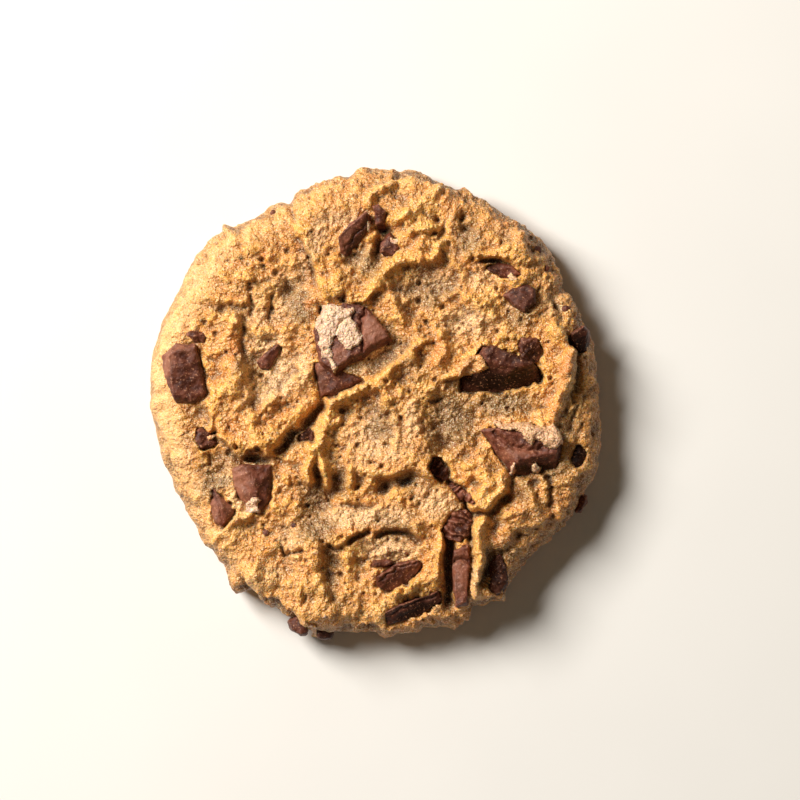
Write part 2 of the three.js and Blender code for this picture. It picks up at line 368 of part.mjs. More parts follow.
// Dough that lies on a chunk: it swells the chunk by its thickness inside its outline
const SMEARS = [
  // left smear on the centre block
  { on: "centre_block", thick: 1.1,
    outline: [[-11.7, 17], [-10.5, 19.6], [-8.1, 20.2], [-5.9, 19.4], [-4.3, 19.4], [-3.7, 18.4],
              [-4.7, 16.8], [-6.3, 16.6], [-7.3, 14.8], [-8.1, 12.2], [-8.9, 10.8], [-10.5, 10.2],
              [-11.7, 11.8], [-11.1, 13.6], [-11.9, 15.2]] },
  // its lower run
  { on: "centre_block", thick: 0.8,
    outline: [[-10.9, 10.8], [-8.7, 11.6], [-8.1, 9.2], [-7.3, 7.2], [-7.9, 6], [-8.7, 7], [-9.3, 8.6],
              [-10.7, 9]] },
  // right smear on the centre block
  { on: "centre_block", thick: 1.2,
    outline: [[-7.3, 16], [-5.7, 17.4], [-4.5, 18], [-3.9, 16.8], [-2.9, 14.8], [-2.1, 12.8],
              [-3.3, 11.6], [-4.5, 10.4], [-5.9, 10.8], [-6.7, 12.4], [-7.9, 13.8]] },
  // cream on the lower left block
  { on: "lower_left_block", thick: 0.9,
    outline: [[-25.7, -19.6], [-24.9, -18.4], [-23.3, -18.4], [-22.3, -19.2], [-23.1, -20.6],
              [-22.7, -21.6], [-24.3, -22.2], [-25.9, -21.4]] },
  // dough over the right block
  { on: "lower_right_block", thick: 1.5,
    outline: [[23.7, -2.6], [25.7, -3.8], [28.1, -3.6], [30.5, -3.6], [33.1, -4.4], [35.5, -3.6],
              [37.5, -5.2], [37.7, -7.8], [36.5, -9.2], [34.7, -9.2], [33.3, -7.8], [32.1, -6.8],
              [31.5, -8.2], [30.3, -7.6], [29.3, -6.2], [27.5, -5.4], [25.1, -5.2], [23.5, -4]] },
  // flap over the right bar
  { on: "right_bar", thick: 1.2,
    outline: [[16.1, 7.6], [18.7, 10], [21.1, 9.8], [22.3, 8.6], [22.9, 7.2], [21.1, 6], [19.1, 5.6],
              [16.7, 5.2]] },
];

const BEVEL = 0.45; // worn upper edges of a chunk
const FOOT_GROWTH = 0.3; // how far the foot of a chunk reaches past its face
const CHIP_CORNERS = 7;
const CHIP_SLOPE = 0.6; // most that a corner of a chip lies below its top
const CHIP_SEED = 7;
const CHIP_TURN = 0.6; // most that a corner is turned on, in steps between corners
const CHIP_REACH = [0.46, 0.56]; // of a corner from the middle, in lengths of the chip
const GAP = 0.32; // clear space round a chunk in the dough
const SEAT = 0.9; // how far the dough is sunk below the lowest corner of a face
const SEAT_EDGE = 1.2; // width of the dough's fall into a seat

// Roughness of the torn dough: size of the lumps, how high they are, and their random seed
const LUMPS = [
  { size: 7.0, rise: 0.55, seed: 11 },
  { size: 3.6, rise: 0.5, seed: 23 },
];
const AVERAGE_SWELL = 0.7;
const WARP = { size: 6.0, shift: 2.2, seed: 5 }; // bends the lumps out of their grid
const UNEVEN = { size: 2.6, least: 0.6, span: 0.8, seed: 61 }; // crests and cracks vary along their paths
const SIDE_ROUGHNESS = 0.55; // of the side wall, against the top
const LOWEST_TOP = 1; // no pit above the waist goes lower
// Small unevenness of the outline: how many patches round a radius, and up the side
const EDGE_NIBBLES = { around: 23, stretch: 2, rise: 0.35, seed: 41 };
const COLUMN = 30; // taller than the cookie

// Numbers that spread the corners of the noise grid
const SPREAD_PRIMES = [73856093, 19349663, 83492791, 374761393];
const MIX_PRIMES = [668265263, 1274126177];
const LARGEST_INTEGER = 4294967295;

// Crests and furrows finer than this are drawn wider and as much lower, as the mesh can't hold them
const FINEST = 1.1;

// A point nearer to a path than this counts as on it
const TOUCHING = 0.000001;

// Fineness of the dough's mesh, in rings
const TOP_RINGS = 27;
const SHOULDER_RINGS = 8;
const UNDER_RINGS = 3;
const SIDES = 6; // each ring of the top has this many more corners than the one inside it

const radians = THREE.MathUtils.degToRad;
const smooth = THREE.MathUtils.smoothstep;
const mix = THREE.MathUtils.lerp;

// A number from 0 to 1 that belongs to a corner of the noise grid
function cornerValue(ix, iy, iz, seed) {
  let h = [ix, iy, iz, seed].reduce((sum, v, k) => sum ^ Math.imul(v, SPREAD_PRIMES[k]), 0);
  h = Math.imul(h ^ (h >>> 15), MIX_PRIMES[0]);
  h = Math.imul(h ^ (h >>> 13), MIX_PRIMES[1]);
  return ((h ^ (h >>> 16)) >>> 0) / LARGEST_INTEGER;
}

// Smooth noise from 0 to 1 at a point
function noise(x, y, z, seed) {
  const ix = Math.floor(x);
  const iy = Math.floor(y);
  const iz = Math.floor(z);
  const u = smooth(x - ix, 0, 1);
  const v = smooth(y - iy, 0, 1);
  const w = smooth(z - iz, 0, 1);
  const along = (dy, dz) =>
    mix(cornerValue(ix, iy + dy, iz + dz, seed), cornerValue(ix + 1, iy + dy, iz + dz, seed), u);
  return mix(mix(along(0, 0), along(1, 0), v), mix(along(0, 1), along(1, 1), v), w);
}

// Rounded lumps with creases between them, on average level
function roughness(x, y, z) {
  const bend = (seed) => (noise(x / WARP.size, y / WARP.size, z / WARP.size, seed) - 0.5) * WARP.shift;
  const bx = x + bend(WARP.seed);
  const by = y + bend(WARP.seed + 1);
  let sum = 0;
  for (const { size, rise, seed } of LUMPS) {
    const swell = Math.abs(2 * noise(bx / size, by / size, z / size, seed) - 1);
    sum += rise * (2 * swell - AVERAGE_SWELL);
  }
  return sum;
}

// Radius of the smooth outline at an angle, by a curve through RADII
function smoothRadius(angle) {
  const step = 360 / RADII.length;
  const place = (((angle % 360) + 360) % 360) / step;
  const i = Math.floor(place);
  const f = place - i;
  const [a, b, c, d] = [-1, 0, 1, 2].map((k) => RADII[(i + k + RADII.length) % RADII.length]);
  return b + 0.5 * f * (c - a + f * (2 * a - 5 * b + 4 * c - d + f * (3 * (b - c) + d - a)));
}

// Radius of the widest level at an angle, with its tips and notches
function outlineRadius(angle) {
  let radius = smoothRadius(angle);
  for (const { angle: at, spread, out } of TIPS) {
    const off = ((((angle - at) % 360) + 540) % 360) - 180;
    radius += out * Math.exp(-((off / spread) ** 2));
  }
  return radius;
}

// Distance from a point to a path, with the side it lies on: positive to the left
function offPath(x, y, path) {
  let nearest = Infinity;
  let side = 1;
  for (let i = 0; i + 1 < path.length; i++) {
    const [ax, ay] = path[i];
    const ux = path[i + 1][0] - ax;
    const uy = path[i + 1][1] - ay;
    const t = THREE.MathUtils.clamp(((x - ax) * ux + (y - ay) * uy) / (ux * ux + uy * uy), 0, 1);
    const far = Math.hypot(x - ax - t * ux, y - ay - t * uy);
    if (far < nearest) {
      nearest = far;
      side = (ux * (y - ay) - uy * (x - ax)) / (Math.hypot(ux, uy) * Math.max(far, TOUCHING));
    }
  }
  return { far: nearest, side };
}

const bell = (far, width) => Math.exp(-((far / width) ** 2));

// Height of a ridge of this rise and width beside its path
function ridge(rise, far, width) {
  const wide = Math.hypot(width, FINEST);
  return (rise * width * bell(far, wide)) / wide;
}

// Height of the crests, furrows and mounds at a point of the top
function forms(x, y) {
  const { size: patch, least, span, seed } = UNEVEN;
  const uneven = least + span * noise(x / patch, y / patch, 0, seed);
  let sum = 0;
  for (const { rise, left, right, path } of CRESTS) {
    const { far, side } = offPath(x, y, path);
    sum += uneven * ridge(rise, far, mix(right, left, THREE.MathUtils.smoothstep(side, -1, 1)));
  }
  for (const { depth, width, path } of FURROWS) {
    sum -= uneven * ridge(depth, offPath(x, y, path).far, width);
  }
  for (const { rise, size, turn, at } of MOUNDS) {
    const c = Math.cos(radians(turn));
    const s = Math.sin(radians(turn));
    const along = ((x - at[0]) * c + (y - at[1]) * s) / size[0];
    const across = ((y - at[1]) * c - (x - at[0]) * s) / size[1];
    sum += rise * bell(Math.hypot(along, across), 1);
  }
  return sum;
}

// The corners of a chip's face, an uneven oval
function chipFace({ size, turn, at }, number) {
  const c = Math.cos(radians(turn));
  const s = Math.sin(radians(turn));
  return Array.from({ length: CHIP_CORNERS }, (_, i) => {
    const a = (2 * Math.PI * (i + CHIP_TURN * cornerValue(number, i, 1, CHIP_SEED))) / CHIP_CORNERS;
    const reach = mix(...CHIP_REACH, cornerValue(number, i, 2, CHIP_SEED));
    const along = size[0] * reach * Math.cos(a);
    const across = size[1] * reach * Math.sin(a);
    const below = CHIP_SLOPE * cornerValue(number, i, 3, CHIP_SEED);
    return [at[0] + along * c - across * s, at[1] + along * s + across * c, -below];
  });
}

// A chunk as points: its face, the bevel round it and its foot
function chunkPoints({ name, top, depth, flare, face }) {
  const middle = [0, 1].map((k) => face.reduce((sum, p) => sum + p[k], 0) / face.length);
  const out = (p, by, shift, z) => {
    const far = Math.hypot(p[0] - middle[0], p[1] - middle[1]);
    const scale = Math.max(0, far + by) / far;
    return new THREE.Vector3(...[0, 1].map((k) => middle[k] + (p[k] - middle[k]) * scale + shift[k]), z);
  };
  const height = (p) => top + (p[2] ?? 0);
  const upper = [
    ...face.map((p) => out(p, -BEVEL, [0, 0], height(p))),
    ...face.map((p) => out(p, 0, [0, 0], height(p) - BEVEL)),
  ];
  const foot = face.map((p) => out(p, FOOT_GROWTH, flare, top - depth));
  return {
    name,
    upper,
    foot,
    floor: Math.min(...face.map(height)) - SEAT,
    outline: planHull([...upper, ...foot]),
  };
}

// The corners of the outline of some points seen from above, anticlockwise
function planHull(points) {
  const sorted = [...points].sort((p, q) => p.x - q.x || p.y - q.y);
  const turns = (o, p, q) => (p.x - o.x) * (q.y - o.y) - (p.y - o.y) * (q.x - o.x);
  const half = (list) => {
    const hull = [];
    for (const p of list) {
      while (hull.length > 1 && turns(hull.at(-2), hull.at(-1), p) <= 0) hull.pop();
      hull.push(p);
    }
    return hull.slice(0, -1);
  };
  return [...half(sorted), ...half(sorted.reverse())];
}

// How far a point lies outside an outline of planHull, negative inside
function outside(x, y, outline) {
  return Math.max(
    ...outline.map((a, i) => {
      const b = outline[(i + 1) % outline.length];
      return ((b.y - a.y) * (x - a.x) - (b.x - a.x) * (y - a.y)) / Math.hypot(b.x - a.x, b.y - a.y);
    }),
  );
}

const chunks = [
  ...BLOCKS,
  ...CHIPS.map((chip, number) => ({ ...chip, flare: [0, 0], face: chipFace(chip, number) })),
].map(chunkPoints);

// Height of the dough where chunks sit in it: it is sunk to each chunk's seat
function seated(x, y, z) {
  for (const { floor, outline } of chunks) {
    const inside = 1 - smooth(outside(x, y, outline), 0, SEAT_EDGE);
    z = mix(z, Math.min(z, floor), inside);
  }
  return z;
}

// The smooth round from its middle over the shoulder to the foot, as steps of a section. Each has
// how many corners its ring has, its share of the way out, the height and the way its surface faces.
function sectionSteps() {
  const steps = [];
  const fall = (x) => x ** SHOULDER_POWER;
  for (let k = 1; k <= TOP_RINGS; k++) {
    steps.push({ corners: SIDES * k, share: k / TOP_RINGS, inset: SHOULDER, rise: 1, out: 0, up: 1 });
  }
  for (let k = 1; k <= SHOULDER_RINGS; k++) {
    const a = (Math.PI / 2) * (k / SHOULDER_RINGS);
    const inset = SHOULDER * (1 - fall(Math.sin(a)));
    const up = Math.max(0, Math.cos(a));
    steps.push({ share: 1, inset, rise: k < SHOULDER_RINGS ? fall(up) : 0, out: Math.sin(a), up });
  }
  for (let k = 1; k <= UNDER_RINGS; k++) {
    const a = (Math.PI / 2) * (k / UNDER_RINGS);
    const inset = UNDERCUT * (1 - Math.cos(a));
    steps.push({ share: 1, inset, rise: -Math.sin(a), out: Math.cos(a), up: -Math.sin(a) });
  }
  return steps.map((step) => ({ corners: SIDES * TOP_RINGS, ...step }));
}

// A corner of the dough's mesh
function doughCorner({ share, inset, rise, out, up }, angle) {
  const c = Math.cos(radians(angle));
  const s = Math.sin(radians(angle));
  const { around, stretch, rise: deep, seed } = EDGE_NIBBLES;
  const nibble = noise(around * c, around * s, rise * stretch, seed);
  const edge = outlineRadius(angle) + deep * (2 * nibble - 1);
  const far = share * (edge - inset);
  const crown = CROWN * (1 - (far / edge) ** 2);
  const level = rise > 0 ? WAIST + (EDGE_HEIGHT + crown - WAIST) * rise : WAIST * (1 + rise);
  const x = far * c;
  const y = far * s;
  // The relief is full on top, less on the side, and fades out towards the foot
  const turned = Math.max(0, up);
  const grip = rise > 0 ? mix(SIDE_ROUGHNESS, 1, turned) : SIDE_ROUGHNESS * (1 + rise);
  const lift = grip * roughness(x, y, level) + turned * forms(x, y);
  const z = Math.max(level + up * lift, rise > 0 ? LOWEST_TOP : 0);
  return [(far + out * lift) * c, (far + out * lift) * s, rise > 0 ? seated(x, y, z) : z];
}

// Triangles between two rings of corners, the first of which is inside or above the second
function stitch(first, second, triangles) {
  let i = 0;
  let j = 0;
  while (i < first.length || j < second.length) {
    const onward = (i + 1) / first.length < (j + 1) / second.length;
    if (j >= second.length || (i < first.length && onward)) {
      triangles.push(first[i % first.length], second[j % second.length], first[(i + 1) % first.length]);
      i++;
    } else {
      triangles.push(first[i % first.length], second[j % second.length], second[(j + 1) % second.length]);
      j++;
    }
  }
}

// The whole round of dough before chunks are set in it, with a flat underside
function doughGeometry() {
  const positions = [0, 0, EDGE_HEIGHT + CROWN + roughness(0, 0, EDGE_HEIGHT + CROWN) + forms(0, 0)];
  const triangles = [];
  let last = [0];
  const ring = (step) =>
    Array.from({ length: step.corners }, (_, i) => {
      positions.push(...doughCorner(step, (360 * i) / step.corners));
      return positions.length / 3 - 1;
    });
  for (const step of sectionSteps()) {
    const next = ring(step);
    stitch(last, next, triangles);
    last = next;
  }
  const under = positions.length / 3;
  positions.push(0, 0, 0);
  stitch(last, [under], triangles);
  const geometry = new THREE.BufferGeometry();
  geometry.setAttribute("position", new THREE.Float32BufferAttribute(positions, 3));
  geometry.setIndex(triangles.filter((_, k, all) => distinct(all, k)));
  return geometry;
}

// Whether the triangle that an index belongs to has three different corners
function distinct(indices, k) {
  const start = k - (k % 3);
  const [a, b, c] = indices.slice(start, start + 3);
  return a !== b && b !== c && c !== a;
}

const wasm = await Module();
wasm.setup();

// A closed geometry as a solid that can be cut and joined
function solidOf(geometry) {
  const bare = geometry.clone();
  bare.deleteAttribute("normal");
  bare.deleteAttribute("uv");
  const merged = mergeVertices(bare, 1e-4);
  return new wasm.Manifold(
    new wasm.Mesh({
      numProp: 3,
      vertProperties: Float32Array.from(merged.attributes.position.array),
      triVerts: Uint32Array.from(merged.index.array),
    }),
  );
}

// A solid as geometry, with flat faces
function geometryOf(solid) {
  const { vertProperties, triVerts } = solid.getMesh();
  const shared = new THREE.BufferGeometry();
  shared.setAttribute("position", new THREE.BufferAttribute(vertProperties, 3));
  shared.setIndex(new THREE.BufferAttribute(triVerts, 1));
  const flat = shared.toNonIndexed();
  flat.computeVertexNormals();
  return flat;
}

// The block that a chunk's points span
function chunkSolid({ upper, foot }) {
  return solidOf(new ConvexGeometry([...upper, ...foot]));
}

// A chunk with its upper side lifted
function raised({ upper, foot }, thick) {
  return { upper: upper.map((p) => p.clone().setZ(p.z + thick)), foot };
}

// A chunk with the dough that lies on it
function smearedSolid(chunk) {
  return smearsOn(chunk).reduce((block, { thick, outline }) => {
    const shape = new THREE.Shape(outline.map(([x, y]) => new THREE.Vector2(x, y)));
    const column = solidOf(new THREE.ExtrudeGeometry(shape, { depth: COLUMN, bevelEnabled: false }));
    return block.add(column.intersect(chunkSolid(raised(chunk, thick))));
  }, chunkSolid(chunk));
}

function smearsOn({ name }) {
  return SMEARS.filter(({ on }) => on === name);
}

// The same block with the gap all round it. The four shifts keep the gap on slanting sides too.
function socketSolid({ upper, foot }) {
  const shift = GAP * Math.SQRT2;
  const around = (p, dz) =>
    [[shift, 0], [0, shift], [-shift, 0], [0, -shift]].map(
      ([dx, dy]) => new THREE.Vector3(p.x + dx, p.y + dy, p.z + dz),
    );
  return solidOf(
    new ConvexGeometry([...upper.flatMap((p) => around(p, GAP)), ...foot.flatMap((p) => around(p, -GAP))]),
  );
}

// The largest body of a solid: crumbs that a cut leaves loose fall away
function largestBody(solid) {
  return solid.decompose().reduce((a, b) => (b.volume() > a.volume() ? b : a));
}

const doughMaterial = new THREE.MeshStandardMaterial({ color: 0xc99352, roughness: 0.85, metalness: 0 });
const chocolateMaterial = new THREE.MeshStandardMaterial({ color: 0x4a261b, roughness: 0.45, metalness: 0 });

const cookie = new THREE.Group();

let dough = solidOf(doughGeometry());
for (const { radius, at } of SPECKS) {
  const speck = new THREE.IcosahedronGeometry(radius, 0).translate(...at);
  dough = dough.add(solidOf(speck));
}
chunks.forEach((chunk, number) => {
  let block = smearedSolid(chunk);
  for (const earlier of chunks.slice(0, number)) block = block.subtract(socketSolid(earlier));
  const mesh = new THREE.Mesh(geometryOf(largestBody(block)), chocolateMaterial.clone());
  mesh.name = chunk.name;
  cookie.add(mesh);
  const thickest = Math.max(0, ...smearsOn(chunk).map(({ thick }) => thick));
  dough = dough.subtract(socketSolid(raised(chunk, thickest)));
});
const doughMesh = new THREE.Mesh(geometryOf(largestBody(dough)), doughMaterial);
doughMesh.name = "dough";
cookie.add(doughMesh);

export default cookie;
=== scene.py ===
"""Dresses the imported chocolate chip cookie: baked dough with fine torn relief, and broken chocolate.

The relief follows the same named forms as the solids, in millimetres, and is turned into metres
where a mesh is made. The camera looks straight down with +Y up in the picture.
"""

import json
import math

import bmesh
import bpy
import numpy as np
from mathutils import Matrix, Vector
from mathutils.bvhtree import BVHTree

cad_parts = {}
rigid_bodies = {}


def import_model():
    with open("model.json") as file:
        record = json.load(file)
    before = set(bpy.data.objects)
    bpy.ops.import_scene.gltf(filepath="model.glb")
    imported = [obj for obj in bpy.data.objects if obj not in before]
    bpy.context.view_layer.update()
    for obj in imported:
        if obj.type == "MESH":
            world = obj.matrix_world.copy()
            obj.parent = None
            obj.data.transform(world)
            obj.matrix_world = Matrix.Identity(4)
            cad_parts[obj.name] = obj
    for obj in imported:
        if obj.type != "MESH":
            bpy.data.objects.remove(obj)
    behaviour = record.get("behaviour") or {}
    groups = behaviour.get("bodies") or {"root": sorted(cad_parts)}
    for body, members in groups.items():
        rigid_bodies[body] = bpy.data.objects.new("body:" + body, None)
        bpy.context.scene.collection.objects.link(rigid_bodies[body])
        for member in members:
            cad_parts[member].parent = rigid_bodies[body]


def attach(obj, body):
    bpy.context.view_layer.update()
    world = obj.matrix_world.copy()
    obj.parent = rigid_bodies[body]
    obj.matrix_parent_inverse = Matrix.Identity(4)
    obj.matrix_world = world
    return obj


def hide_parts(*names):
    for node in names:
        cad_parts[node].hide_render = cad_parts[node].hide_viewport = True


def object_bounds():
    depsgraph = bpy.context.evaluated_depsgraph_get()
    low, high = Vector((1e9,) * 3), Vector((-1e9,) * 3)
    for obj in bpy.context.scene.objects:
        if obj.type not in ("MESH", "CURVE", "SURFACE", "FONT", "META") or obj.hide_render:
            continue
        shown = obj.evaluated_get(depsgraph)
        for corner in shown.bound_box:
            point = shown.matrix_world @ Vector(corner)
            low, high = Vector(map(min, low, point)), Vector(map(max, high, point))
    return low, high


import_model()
cad_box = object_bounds()

MM = 0.001
TOUCHING = 1e-6  # a point nearer to a path than this counts as on it


def table(keys, rows):
    """A dict for each row, whose values belong to these keys in turn."""
    return [dict(zip(keys.split(), row)) for row in rows]


# Driving sizes of the round, in millimetres
EDGE_HEIGHT = 12.2  # level of the top at its edge
CROWN = 1.2  # how much higher the middle is
WAIST = 5.0  # level at which the rim is widest
SHOULDER = 7.5  # width of the shoulder
UNDERCUT = 2.4  # how far the foot lies inside the widest outline
SHOULDER_POWER = 0.85  # roundness of the shoulder

# Radius of the widest level at every 15 degrees, from +X towards +Y
RADII = [
    45.1, 45.3, 45.2, 46.7, 46.2, 46.6, 47.3, 45.6, 44.5, 46.3, 45.5, 45.6,
    45.0, 43.8, 43.4, 44.4, 45.2, 46.0, 45.8, 46.4, 46.2, 44.0, 45.2, 46.2,
]
# Tips and notches of the edge
TIPS = table("angle spread out", [
    (31.6, 1.6, -1.2),
    (80, 3, 0.7),
    (83.8, 1, -0.7),
    (96.5, 1.5, -0.6),
    (112.8, 1.3, -1.3),
    (130.2, 1.1, 1.6),
    (222, 2, -0.6),
    (232.5, 3, 2.3),
    (236.8, 1.4, -0.9),
    (273, 2.4, 0.9),
    (290, 2.6, 1.1),
    (296, 2, -1.0),
    (303.6, 1.8, 1.3),
])

# Crest lines of the torn dough, with the widths of their falls to the left and right
CRESTS = table("rise left right path", [
    # long crest across the middle
    (2.64, 1.5, 0.8,
     [[10.1, 12.2], [7.3, 10.2], [4.7, 8.2], [2.5, 6.4], [0.3, 5], [-2.1, 3.2], [-4.9, 2.2],
      [-7.3, 1.6], [-9.5, 1]]),
    # hooked crest above the middle
    (2.16, 1.2, 2,
     [[13.1, 31.6], [11.7, 29.4], [8.7, 28.6], [5.7, 28.4], [3.3, 27.4], [1.5, 25.6],
      [2.7, 23.2], [4.1, 20.6], [5.3, 17.6]]),
    # crest at the top edge
    (1.8, 0.7, 0.9, [[-1.7, 40.4], [-0.7, 41.6], [0.9, 42.6], [3.1, 44]]),
    # crest right of the top chunks
    (1.68, 1.4, 0.9,
     [[2.3, 36.4], [4.9, 37.2], [7.3, 38.4], [9.5, 40], [12.3, 42.2]]),
    # crest under it
    (1.44, 1, 1.1, [[4.1, 32.6], [6.1, 33.6], [8.1, 34.6], [11.5, 35.6]]),
    # left edge of the upper slab
    (1.92, 6.5, 0.45,
     [[-14.9, 33.2], [-13.9, 30.4], [-12.7, 27.6], [-11.3, 25], [-10.1, 22.4], [-9.3, 20.4]]),
    # lower edge of the upper slab
    (1.8, 4.5, 0.5,
     [[-9.7, 20.8], [-7.3, 21.4], [-4.5, 20.6], [-2.5, 20.8], [-0.1, 22.6]]),
    # left crest
    (2.28, 1.5, 2.8,
     [[-28.3, 15.8], [-28.7, 13.6], [-28.1, 11.2], [-27.3, 8.8], [-26.9, 6]]),
    # left crest, its lower run
    (1.44, 1.3, 2.4, [[-26.9, 6], [-26.1, 2.4], [-25.5, -0.8], [-24.9, -3.2]]),
    # outer edge of the left slab
    (2.28, 4.5, 0.45,
     [[-33.3, 0], [-32.3, -2.2], [-32.1, -4.2], [-33.7, -6.6], [-31.5, -6.4], [-29.3, -7.4],
      [-27.7, -9.6], [-26.3, -11.4], [-25.5, -9], [-23.7, -8.4], [-21.3, -9.8], [-18.9, -10.4]]),
    # rim of the left bowl
    (1.8, 1.6, 0.7,
     [[-13.3, 6], [-15.7, 4.6], [-17.5, 2.4], [-19.7, 0.8], [-22.1, -1], [-23.9, -2.6]]),
    # forked flap, right prong
    (1.8, 1.4, 0.9,
     [[-8.7, 0], [-9.7, -3.2], [-10.3, -6.4], [-10.9, -9.2], [-10.3, -12.4], [-9.3, -16]]),
    # forked flap, left prong
    (1.56, 1, 1.2,
     [[-11.3, -8], [-12.7, -10.8], [-13.5, -13.2], [-13.3, -15.2]]),
    # short upright crest
    (1.44, 0.9, 1.1, [[-5.3, -9.6], [-4.7, -13.6], [-4.7, -18]]),
    # lip above the lower bowl
    (1.32, 3.4, 0.3,
     [[-9.7, -27.4], [-7.9, -28.4], [-5.9, -27.4], [-4.3, -26.2], [-1.7, -25.6], [0.7, -25.6],
      [4.3, -25], [8.3, -25.8]]),
    # crescent round the lower bowl
    (1.8, 1.8, 1.1,
     [[8.7, -25.4], [10.5, -28.2], [11.3, -30.8], [10.7, -33.6], [8.3, -36], [5.9, -37.6],
      [4.1, -38.4]]),
    # edge left of the upright bar
    (1.56, 0.4, 1.6, [[13.7, -26.8], [13.9, -30.4], [13.7, -33.6]]),
    # strip between the lower chunks
    (3.12, 1, 0.9,
     [[21.9, -22.6], [20.9, -25.2], [20.7, -28.2], [21.3, -30.4], [20.7, -33.2],
      [20.1, -35.6], [19.7, -38]]),
    # right prong's tip
    (1.56, 1, 0.8, [[-10.5, -11.2], [-9.9, -13.6], [-9.3, -15.6]]),
    # left prong's tip
    (1.56, 0.8, 0.8, [[-13.1, -12], [-13.7, -14.6]]),
    # long crest on the right
    (2.76, 1.2, 1.3,
     [[35.5, 14.8], [37.3, 12.4], [38.5, 9.8], [38.5, 6.4], [37.5, 3.2], [36.3, 0.4],
      [35.5, -2.4]]),
    # lip above the right slit
    (1.68, 3.2, 0.35, [[20.9, 28.6], [24.9, 29.4], [29.7, 28.6]]),
    # flap over the right bar
    (2.16, 2.8, 0.35, [[14.3, 4.8], [17.5, 5.4], [20.1, 6], [22.5, 7.4]]),
    # right edge of the middle slab
    (1.44, 1.9, 8,
     [[9.3, 1.2], [8.7, -2.2], [9.5, -6.2], [10.3, -9.6], [10.7, -12.4], [9.7, -14.2]]),
    # lower edge of the middle slab
    (1.32, 0.6, 5,
     [[9.9, -14.2], [7.5, -14], [5.1, -13.4], [2.9, -14.6], [0.1, -14.2]]),
    # ridge on the middle slab
    (0.96, 1.4, 0.6,
     [[1.1, 4], [1.7, 1.2], [1.3, -0.8], [3.5, -2.4], [4.3, -5.2], [3.9, -8.4]]),
    # step at the lower left
    (1.8, 1.3, 3.4,
     [[-12.7, -26.6], [-11.7, -29.2], [-11.5, -32.2], [-11.1, -34.8], [-9.7, -37.6],
      [-8.5, -40]]),
    # ragged edge of the lower left rim
    (2.16, 4.5, 0.45,
     [[-24.5, -35.6], [-22.5, -37.2], [-19.9, -38], [-17.3, -39.4], [-15.3, -41.6],
      [-12.9, -44]]),
    # fold at the upper left
    (0.6, 3, 0.45,
     [[-30.5, 25.2], [-27.7, 25], [-24.5, 25], [-21.7, 25.2], [-19.7, 26.6]]),
    # small ridge in the upper left basin
    (0.6, 1.2, 1.2, [[-22.5, 22.4], [-21.9, 20.2], [-22.3, 17.2]]),
    # ridge at the foot of the left bowl
    (0.96, 1, 1, [[-24.9, 15.4], [-22.5, 14.2], [-19.9, 14.4]]),
    # curled lump on the right
    (2.52, 1.4, 1.1, [[21.9, -13.6], [22.7, -16], [21.5, -18.4], [20.1, -20]]),
    # curled lump, its lower bend
    (2.16, 1.2, 1.2,
     [[20.1, -20], [22.7, -20.4], [24.7, -18.8], [25.9, -16.8], [25.5, -14.4]]),
    # upright ridge at the lower right
    (1.2, 0.8, 0.8, [[30.5, -16], [31.5, -18.8], [32.5, -21.6]]),
    # second upright ridge there
    (1.2, 0.7, 0.9, [[33.7, -15.6], [34.1, -19.2]]),
    # ridge at the lower left
    (1.32, 0.8, 1.2,
     [[-31.3, -27.4], [-29.5, -25.2], [-27.3, -23.2], [-24.9, -22.6]]),
    # ridge under the top bar
    (1.2, 0.8, 0.8, [[-7.7, 29.2], [-5.5, 27.8], [-3.5, 27.2], [-1.7, 26]]),
    # knob beside the top bar
    (1.92, 0.9, 0.9, [[-0.5, 33.2], [-0.7, 31.2], [-1.3, 28.8]]),
    # ridge right of the upper hollow
    (1.08, 1.2, 0.9, [[16.1, 28.4], [17.5, 26], [17.1, 23.2], [15.1, 21.2]]),
    # ridge below the upper hollow
    (1.08, 0.9, 1.4, [[6.7, 20.8], [9.1, 21.6], [11.5, 20.8], [13.1, 19.2]]),
    # ridge left of the right bar
    (1.08, 0.9, 1.1, [[12.7, 14.8], [14.3, 12.8], [14.5, 10.4], [13.1, 8]]),
    # lumpy ridge above the right bar
    (1.08, 1, 1.2, [[19.1, 20.8], [21.5, 18.8], [24.5, 17.2], [26.1, 14.8]]),
])

